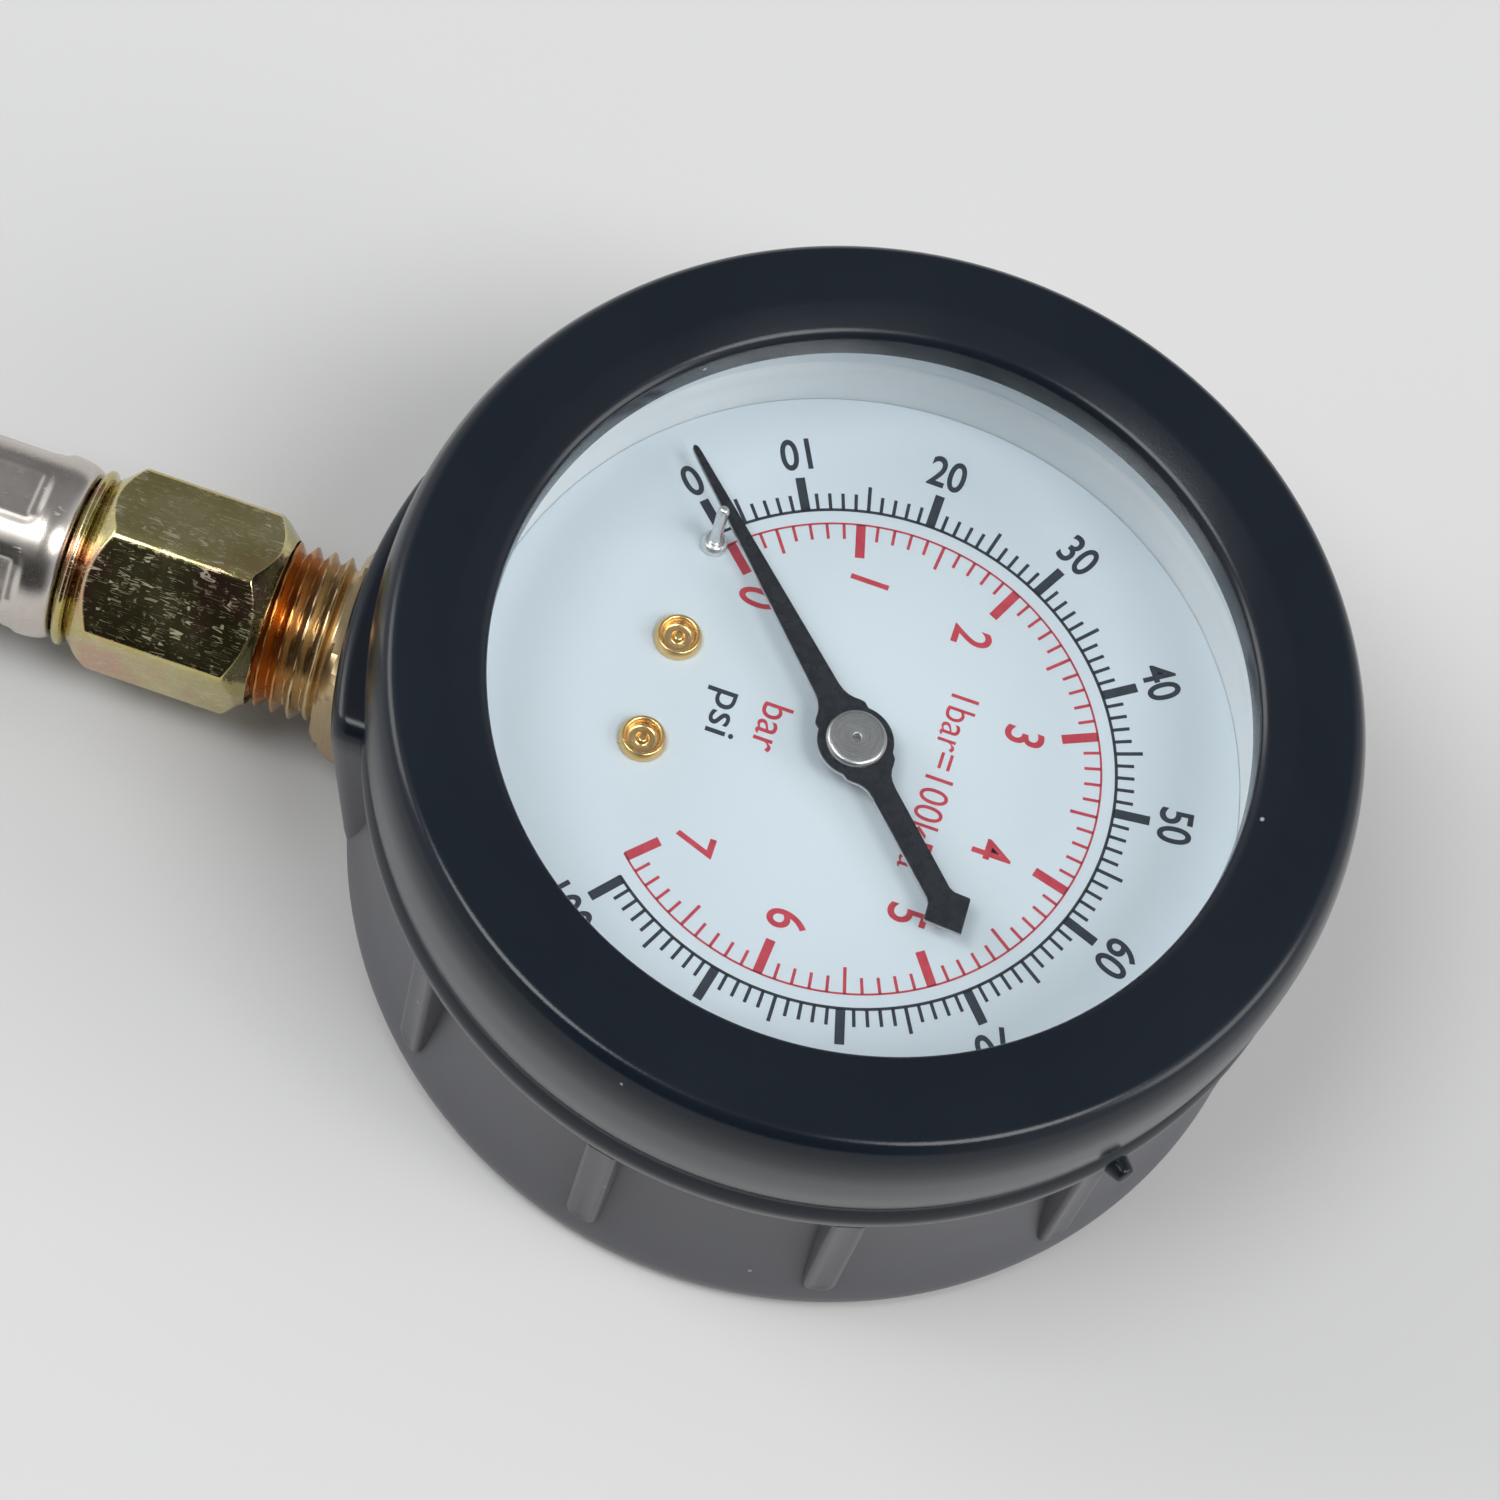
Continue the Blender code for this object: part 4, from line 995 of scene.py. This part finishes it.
stop = turned("stop_peg", [(0.0, 28.45, 0.0), (0.3, 28.38, 0.15), (0.47, 28.05, 0.2),
                           (0.47, 22.8, 0.1), (0.78, 22.85, 0.12), (1.08, 22.5, 0.15),
                           (1.08, 22.03, 0.05), (0.47, 22.03, 0.0), (0.47, 20.9, 0.1),
                           (0.0, 20.9, 0.0)], plated, steps=48, centre=at(20.3, 229.2), sharp=50.0)
finish_piece(stop, "gauge", "bright_nickel", "stop_pin")

# %% [markdown]
# ## The pointer
# The pointer is punched from thin sheet, painted black on top, and its cut edge stays bright.
# Its outline is made along +X, given thickness and a fine bevel, and turned to its rest angle.

# %% Pointer plate
POINTER_REST = 224.5
POINTER_SHEET = 0.5


def pointer_outline():
    """Half of the pointer's edge from tip to tail, mirrored to close it."""
    boss = 3.0
    upper = [(27.6, 0.0), (27.52, 0.14), (27.3, 0.24), (26.9, 0.28), (4.8, 1.05), (4.2, 1.14),
             (3.7, 1.33), (3.3, 1.6), (2.95, 1.95), (2.6, 2.2)]
    for step in range(1, 14):
        angle = math.radians(40.0 + step * 100.0 / 14.0)
        upper.append((boss * math.cos(angle), boss * math.sin(angle)))
    upper += [(-2.6, 2.1), (-2.95, 1.8), (-3.3, 1.45), (-3.7, 1.2), (-4.2, 1.05), (-4.8, 1.0),
              (-13.7, 1.0), (-14.15, 1.15), (-15.1, 2.0), (-15.25, 1.98)]
    lower = [(x, -y) for x, y in reversed(upper[1:])]
    return upper + [(-17.4, 0.0)] + lower


def pointer_plate():
    """The punched sheet. Its two faces are painted and its cut edge is bare steel."""
    shape = bmesh.new()
    ring = [shape.verts.new((x * MM, y * MM, POINTER_LOW * MM)) for x, y in pointer_outline()]
    face = shape.faces.new(ring)
    made = bmesh.ops.extrude_face_region(shape, geom=[face])
    top = [item for item in made["geom"] if isinstance(item, bmesh.types.BMVert)]
    bmesh.ops.translate(shape, vec=(0.0, 0.0, POINTER_SHEET * MM), verts=top)
    bmesh.ops.recalc_face_normals(shape, faces=shape.faces)
    rims = [edge for edge in shape.edges if edge.calc_face_angle(0.0) > 1.2
            and abs(edge.verts[0].co.z - edge.verts[1].co.z) < 1e-7]
    bmesh.ops.bevel(shape, geom=rims, offset=0.05 * MM, segments=2, affect="EDGES")
    for one in shape.faces:
        one.material_index = 0 if abs(one.normal.z) > 0.75 else 1
    mesh = bpy.data.meshes.new("pointer_plate")
    shape.to_mesh(mesh)
    shape.free()
    smoothed(mesh, 14.0)
    mesh.materials.append(pointer_paint.material)
    mesh.materials.append(steel.material)
    mesh.transform(Matrix.Rotation(math.radians(POINTER_REST), 4, "Z"))
    return placed("pointer_plate", mesh)


finish_piece(pointer_plate(), "pointer_assembly", "black_paint", "pointer")

# %% [markdown]
# ### Hub cap
# A turned steel cap is pressed over the spindle's end. It is spun, with a small dimple left by
# the lathe's centre.

# %% Hub cap
hub = turned("hub_cap", [(0.28, 25.3, 0.05), (0.36, 25.42, 0.08), (2.0, 25.42, 0.12),
                         (2.22, 25.36, 0.12), (2.4, 25.12, 0.1), (2.4, 24.78, 0.05),
                         (1.5, 24.75, 0.0), (1.5, 22.5, 0.1), (0.68, 22.5, 0.0), (0.68, 25.0, 0.0),
                         (0.28, 25.0, 0.0)], hub_finish, steps=96, sharp=30.0)
finish_piece(hub, "pointer_assembly", "bright_nickel", "pointer_hub")

# %% [markdown]
# ## The stem
# The brass socket comes out of the boot as a 14 mm square and turns into a tapered pipe thread.
# The thread is a real helix: a grid whose height above the root follows the turn angle.

# %% Square and core
SQUARE_HALF = 7.0
PITCH = 1.411
CREST = 6.95
TAPER = 1.0 / 32.0
DEPTH = 0.85


def stem_square():
    """The square shank with its front corners turned down to a cone at the thread."""
    dense = fill_loop(rounded_loop(SQUARE_HALF, -SQUARE_HALF, SQUARE_HALF, 0.35, 4), 0.9)
    rings = [[(x, z, distance) for x, z in dense] for distance in (18.9, 22.0, 28.0, 34.0, 38.4)]
    for distance, reach in ((39.0, 10.0), (39.6, 9.3), (40.2, 8.6), (40.7, 7.95), (41.0, 7.4)):
        shares = [min(1.0, reach / math.hypot(x, z)) for x, z in dense]
        rings.append([(x * share, z * share, distance) for (x, z), share in zip(dense, shares)])
    rings.append([(x / math.hypot(x, z) * 6.0, z / math.hypot(x, z) * 6.0, 41.0) for x, z in dense])
    verts = [point for ring in rings for point in ring]
    faces = end_faces(len(rings), len(dense)) + ring_faces(len(rings), len(dense))
    return new_piece("stem_square", verts, faces, stem_brass, sharp=24.0)


finish_piece(lay_on_stem(stem_square()), "gauge", "brass", "socket_stem")

# %% [markdown]
# The thread could be a Screw modifier on a tooth, but a taper and a run-out are easier by rule.
# A Geometry Nodes tree takes a flat grid, reads each point's turn and distance, works out how far
# it is into the groove, and sets its place on the taper.

# %% Thread tree
def thread_tree():
    labels = ("Start", "Length", "Pitch", "Crest radius", "Taper", "Depth")
    net, given, result = new_tree("Tapered thread", "GeometryNodeTree", [
        GEOMETRY, *((label, "Float") for label in labels), ("Finish", "Material")], [GEOMETRY])
    grid = net.add("GeometryNodeMeshGrid", {
        "Size X": 1.0, "Size Y": 1.0, "Vertices X": 97, "Vertices Y": 166})
    spot = net.add("GeometryNodeInputPosition", {}).outputs[0]
    split = net.add("ShaderNodeSeparateXYZ", {0: spot}).outputs
    turns = net.math("ADD", split["X"], 0.5)
    travel = net.math("MULTIPLY", net.math("ADD", split["Y"], 0.5), given["Length"])
    angle = net.math("MULTIPLY", turns, 2.0 * math.pi)
    pitches = net.math("DIVIDE", travel, given["Pitch"])
    cycle = net.math("FRACT", net.math("SUBTRACT", pitches, turns))
    # 1 at the middle of a crest and 0 at the bottom of the groove, with narrow flats.
    swing = net.math("SUBTRACT", net.math("MULTIPLY", cycle, 2.0), 1.0)
    wave = net.math("SUBTRACT", 1.0, net.math("ABSOLUTE", swing))
    flank = net.between(wave, 0.08, 0.88, "LINEAR")
    fade = net.between(travel, 0.0, net.math("MULTIPLY", given["Pitch"], 0.9), "LINEAR")
    rise = net.math("MULTIPLY", net.math("MULTIPLY", flank, fade), given["Depth"])
    narrowed = net.math("MULTIPLY", travel, given["Taper"])
    crest = net.math("SUBTRACT", given["Crest radius"], narrowed)
    reach = net.math("ADD", net.math("SUBTRACT", crest, given["Depth"]), rise)
    place = net.add("ShaderNodeCombineXYZ", {
        "X": net.math("MULTIPLY", reach, net.math("COSINE", angle)),
        "Y": net.math("MULTIPLY", reach, net.math("SINE", angle)),
        "Z": net.math("ADD", given["Start"], travel)})
    move = net.add("GeometryNodeSetPosition", {
        "Geometry": grid.outputs["Mesh"], "Position": place.outputs[0]})
    weld = net.add("GeometryNodeMergeByDistance", {
        "Geometry": move.outputs["Geometry"], "Distance": 0.000001})
    return end_tree(net, weld.outputs["Geometry"], given, result)


# %% Thread
thread = grown("stem_thread", thread_tree(), {
    "Start": THREAD_START * MM, "Length": (THREAD_END - THREAD_START) * MM, "Pitch": PITCH * MM,
    "Crest radius": CREST * MM, "Taper": TAPER, "Depth": DEPTH * MM,
    "Finish": stem_brass.material})
welded(thread.data, close=True)
smoothed(thread.data, 34.0)
finish_piece(lay_on_stem(thread), "gauge", "brass")

# %% [markdown]
# ## The hose fitting
# The nut is a hexagonal bar whose ends are turned to a cone. The line where the cone meets each
# flat is worked out exactly: at each angle, the flat stops where the cone is just as wide.

# %% Nut
NUT_FLATS = 15.0
NUT_CORNER = 24.5
NUT_ROUND = 1.2                    # radius of its rounded corners


def nut_reach(degrees):
    """The nut's radius at an angle: the flat, or near a corner the round that joins two flats."""
    off = (degrees - NUT_CORNER) % 60.0 - 30.0      # from the middle of the flat
    flat = NUT_FLATS / 2.0
    if abs(math.tan(math.radians(off))) * flat < (flat - NUT_ROUND) * math.tan(math.pi / 6.0):
        return flat / math.cos(math.radians(off))
    beside = math.radians(30.0 - abs(off))
    middle = (flat - NUT_ROUND) / math.cos(math.pi / 6.0)
    return middle * math.cos(beside) + math.sqrt(NUT_ROUND ** 2 - (middle * math.sin(beside)) ** 2)


def nut_body():
    """Rings of points from the gauge end's face to the hose end's face."""
    front_face, back_face = 6.95, 6.8
    front_slope, back_slope = 1.1, 1.05
    steps = 360
    angles = [360.0 * step / steps + NUT_CORNER for step in range(steps)]
    rings = []

    def ring(radius_of, distance_of):
        rings.append([(radius_of(a) * math.cos(math.radians(a)), radius_of(a) * math.sin(math.radians(a)),
                       distance_of(a)) for a in angles])

    def chamfer_in(a):
        return NUT_START + 0.12 + max(0.0, nut_reach(a) - front_face) * front_slope

    def chamfer_out(a):
        return NUT_END - 0.1 - max(0.0, nut_reach(a) - back_face) * back_slope

    ring(lambda a: 6.9, lambda a: NUT_START + 0.6)
    ring(lambda a: 6.9, lambda a: NUT_START)
    ring(lambda a: front_face - 0.1, lambda a: NUT_START)
    ring(lambda a: front_face + 0.03, lambda a: NUT_START + 0.1)
    for share in (0.33, 0.66, 0.93):
        ring(lambda a: front_face + (nut_reach(a) - front_face) * share,
             lambda a: NUT_START + 0.12 + (chamfer_in(a) - NUT_START - 0.12) * share)
    ring(lambda a: nut_reach(a) - 0.01, lambda a: chamfer_in(a) + 0.04)
    ring(nut_reach, lambda a: chamfer_in(a) + 0.16)
    for share in (0.25, 0.5, 0.75):
        ring(nut_reach, lambda a: chamfer_in(a) + (chamfer_out(a) - chamfer_in(a)) * share)
    ring(nut_reach, lambda a: chamfer_out(a) - 0.16)
    ring(lambda a: nut_reach(a) - 0.01, lambda a: chamfer_out(a) - 0.04)
    for share in (0.93, 0.66, 0.33):
        ring(lambda a: back_face + (nut_reach(a) - back_face) * share,
             lambda a: NUT_END - 0.1 - (NUT_END - 0.1 - chamfer_out(a)) * share)
    ring(lambda a: back_face, lambda a: NUT_END - 0.05)
    ring(lambda a: back_face - 0.1, lambda a: NUT_END)
    ring(lambda a: 6.0, lambda a: NUT_END)
    ring(lambda a: 6.0, lambda a: NUT_START + 0.6)
    verts = [point for one in rings for point in one]
    return new_piece("hex_nut", verts, ring_faces(len(rings), steps, looped=True), zinc, sharp=70.0)


finish_piece(lay_on_stem(nut_body()), "gauge", "yellow_zinc", "hose_fitting")

# %% [markdown]
# ### Collar, groove and tail
# Behind the nut a small collar meets the ferrule, and a barbed tail runs on inside it to grip the
# hose. The whole tail is one turned outline, with the barbs added in a loop.

# %% Collar, groove and tail
tail_outline = [(2.0, NUT_START + 9.6, 0.0), (6.2, NUT_START + 9.6, 0.0), (6.2, NUT_END + 0.15, 0.05),
                (6.9, NUT_END + 0.28, 0.12), (7.25, NUT_END + 0.5, 0.15), (7.3, NUT_END + 0.85, 0.15),
                (6.95, NUT_END + 1.15, 0.12), (6.1, NUT_END + 1.2, 0.05),
                (6.0, FERRULE_START + 0.7, 0.05), (3.2, FERRULE_START + 0.7, 0.1)]
barb = FERRULE_START + 2.4
while barb < FERRULE_END - 6.0:
    tail_outline += [(3.2, barb, 0.1), (3.2, barb + 1.1, 0.05), (3.85, barb + 1.25, 0.1),
                     (3.2, barb + 3.0, 0.2)]
    barb += 4.2
tail_outline += [(3.2, FERRULE_END - 2.4, 0.2), (2.7, FERRULE_END - 1.2, 0.15),
                 (2.0, FERRULE_END - 1.2, 0.1)]
tail_outline.reverse()
tail = turned("fitting_tail", tail_outline, zinc, steps=96)
finish_piece(lay_on_stem(tail), "gauge", "yellow_zinc")

# %% [markdown]
# ### Ferrule
# The ferrule is a drawn sleeve, pressed on six sides. Each pressing is a rounded panel with a
# sloping border, so the sleeve's radius is lowered inside a rounded rectangle at each side.

# %% Ferrule
FERRULE_RADIUS = 7.45
PANELS = 6
PANEL_PHASE = 35.0
PANEL_HALF_WIDTH = 3.15
PANEL_START = FERRULE_START + 2.5
PANEL_STOP = FERRULE_END - 4.5


def smooth_step(low, high, value):
    share = np.clip((value - low) / (high - low), 0.0, 1.0)
    return share * share * (3.0 - 2.0 * share)


def ferrule_reach(angle, distance):
    """The outer radius of the sleeve at an angle and a distance along the stem."""
    off = (angle - PANEL_PHASE + 30.0) % 60.0 - 30.0
    across = np.abs(np.radians(off) * FERRULE_RADIUS)
    middle = (PANEL_START + PANEL_STOP) / 2.0
    half_length = (PANEL_STOP - PANEL_START) / 2.0
    corner = 1.3
    gap_x = np.maximum(across - (PANEL_HALF_WIDTH - corner), 0.0)
    gap_y = np.maximum(np.abs(distance - middle) - (half_length - corner), 0.0)
    outside = np.hypot(gap_x, gap_y) - corner
    border = 1.0 - smooth_step(-0.75, 0.0, outside)
    inner = 1.0 - smooth_step(-1.45, -0.95, outside)
    flat = FERRULE_RADIUS - (FERRULE_RADIUS - 0.30) / np.cos(np.radians(np.clip(off, -24.0, 24.0)))
    return FERRULE_RADIUS - border * np.maximum(flat, 0.08) - inner * 0.16


def ferrule_sleeve():
    steps = 288
    angles = np.arange(steps) * 360.0 / steps
    lip = [(6.3, FERRULE_START + 0.35), (6.38, FERRULE_START + 0.05), (6.7, FERRULE_START),
           (6.95, FERRULE_START + 0.14), (7.12, FERRULE_START + 0.42), (7.28, FERRULE_START + 0.85),
           (7.40, FERRULE_START + 1.4)]
    foot = [(7.38, FERRULE_END - 1.2), (7.25, FERRULE_END - 0.5), (7.0, FERRULE_END - 0.12),
            (6.7, FERRULE_END), (6.42, FERRULE_END - 0.1), (6.3, FERRULE_END - 0.4)]
    distances = np.concatenate([
        np.linspace(FERRULE_START + 1.9, PANEL_START + 2.4, 22),
        np.linspace(PANEL_START + 2.9, PANEL_STOP - 2.9, 12),
        np.linspace(PANEL_STOP - 2.4, FERRULE_END - 1.9, 22)])
    rings = [[(r, d)] * steps for r, d in lip]
    for distance in distances:
        reach = ferrule_reach(angles, np.full(steps, distance))
        rings.append([(r, distance) for r in reach])
    rings += [[(r, d)] * steps for r, d in foot]
    verts = []
    for one in rings:
        for (reach, distance), angle in zip(one, np.radians(angles)):
            verts.append((reach * math.cos(angle), reach * math.sin(angle), distance))
    faces = ring_faces(len(rings), steps, looped=True)
    return new_piece("ferrule_sleeve", verts, faces, nickel, sharp=60.0)


finish_piece(lay_on_stem(ferrule_sleeve()), "gauge", "bright_nickel", "crimp_ferrule")

# %% [markdown]
# ## Bourdon tube
# The tube is the spring that measures: pressure unrolls it a little and its free end swings. It could be
# swept along an arc again, or bent with an armature. Here it is a merged copy of the frame's own tube,
# which keeps its section.

# %% Bourdon tube
TIP_BLOCK_REACH = 21.0


def flexing_tube():
    """A merged copy of the frame's tube, smooth-shaded and in spring bronze."""
    node = frame["nodes"]["bourdon_tube"]
    mesh = node.data.copy()
    mesh.transform(node.matrix_world)
    welded(mesh, outwards=False)
    smoothed(mesh, 38.0)
    mesh.materials.clear()
    mesh.materials.append(bronze.material)
    return placed("flexing_tube", mesh)


tube = flexing_tube()
reach = TIP_BLOCK_REACH * MM
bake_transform(tube)
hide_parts("bourdon_tube")
print("flexing_tube", len(tube.data.polygons), "faces")

# %% [markdown]
# ## Hidden pieces
# The case, the bezel and the movement stay as the frame made them. Each gets the finish of its
# kind, so they look right when the gauge is opened up.

# %% Finishes for the frame's own nodes
KINDS = {"pressed_steel": steel, "brass": plain_brass, "grey_plastic": grey, "black_rubber": rubber,
         "bright_nickel": plated, "spring_bronze": bronze, "white_enamel": enamel,
         "black_paint": pointer_paint, "yellow_zinc": zinc, "clear_glass": window_finish}
slots = {part["node"]: part["material_slot"] for part in frame["record"]["subparts"]}
for node, piece in frame["nodes"].items():
    finish = KINDS[slots[node]]
    piece.data.materials.clear()
    piece.data.materials.append(finish.material)
print("nodes finished:", len(frame["nodes"]))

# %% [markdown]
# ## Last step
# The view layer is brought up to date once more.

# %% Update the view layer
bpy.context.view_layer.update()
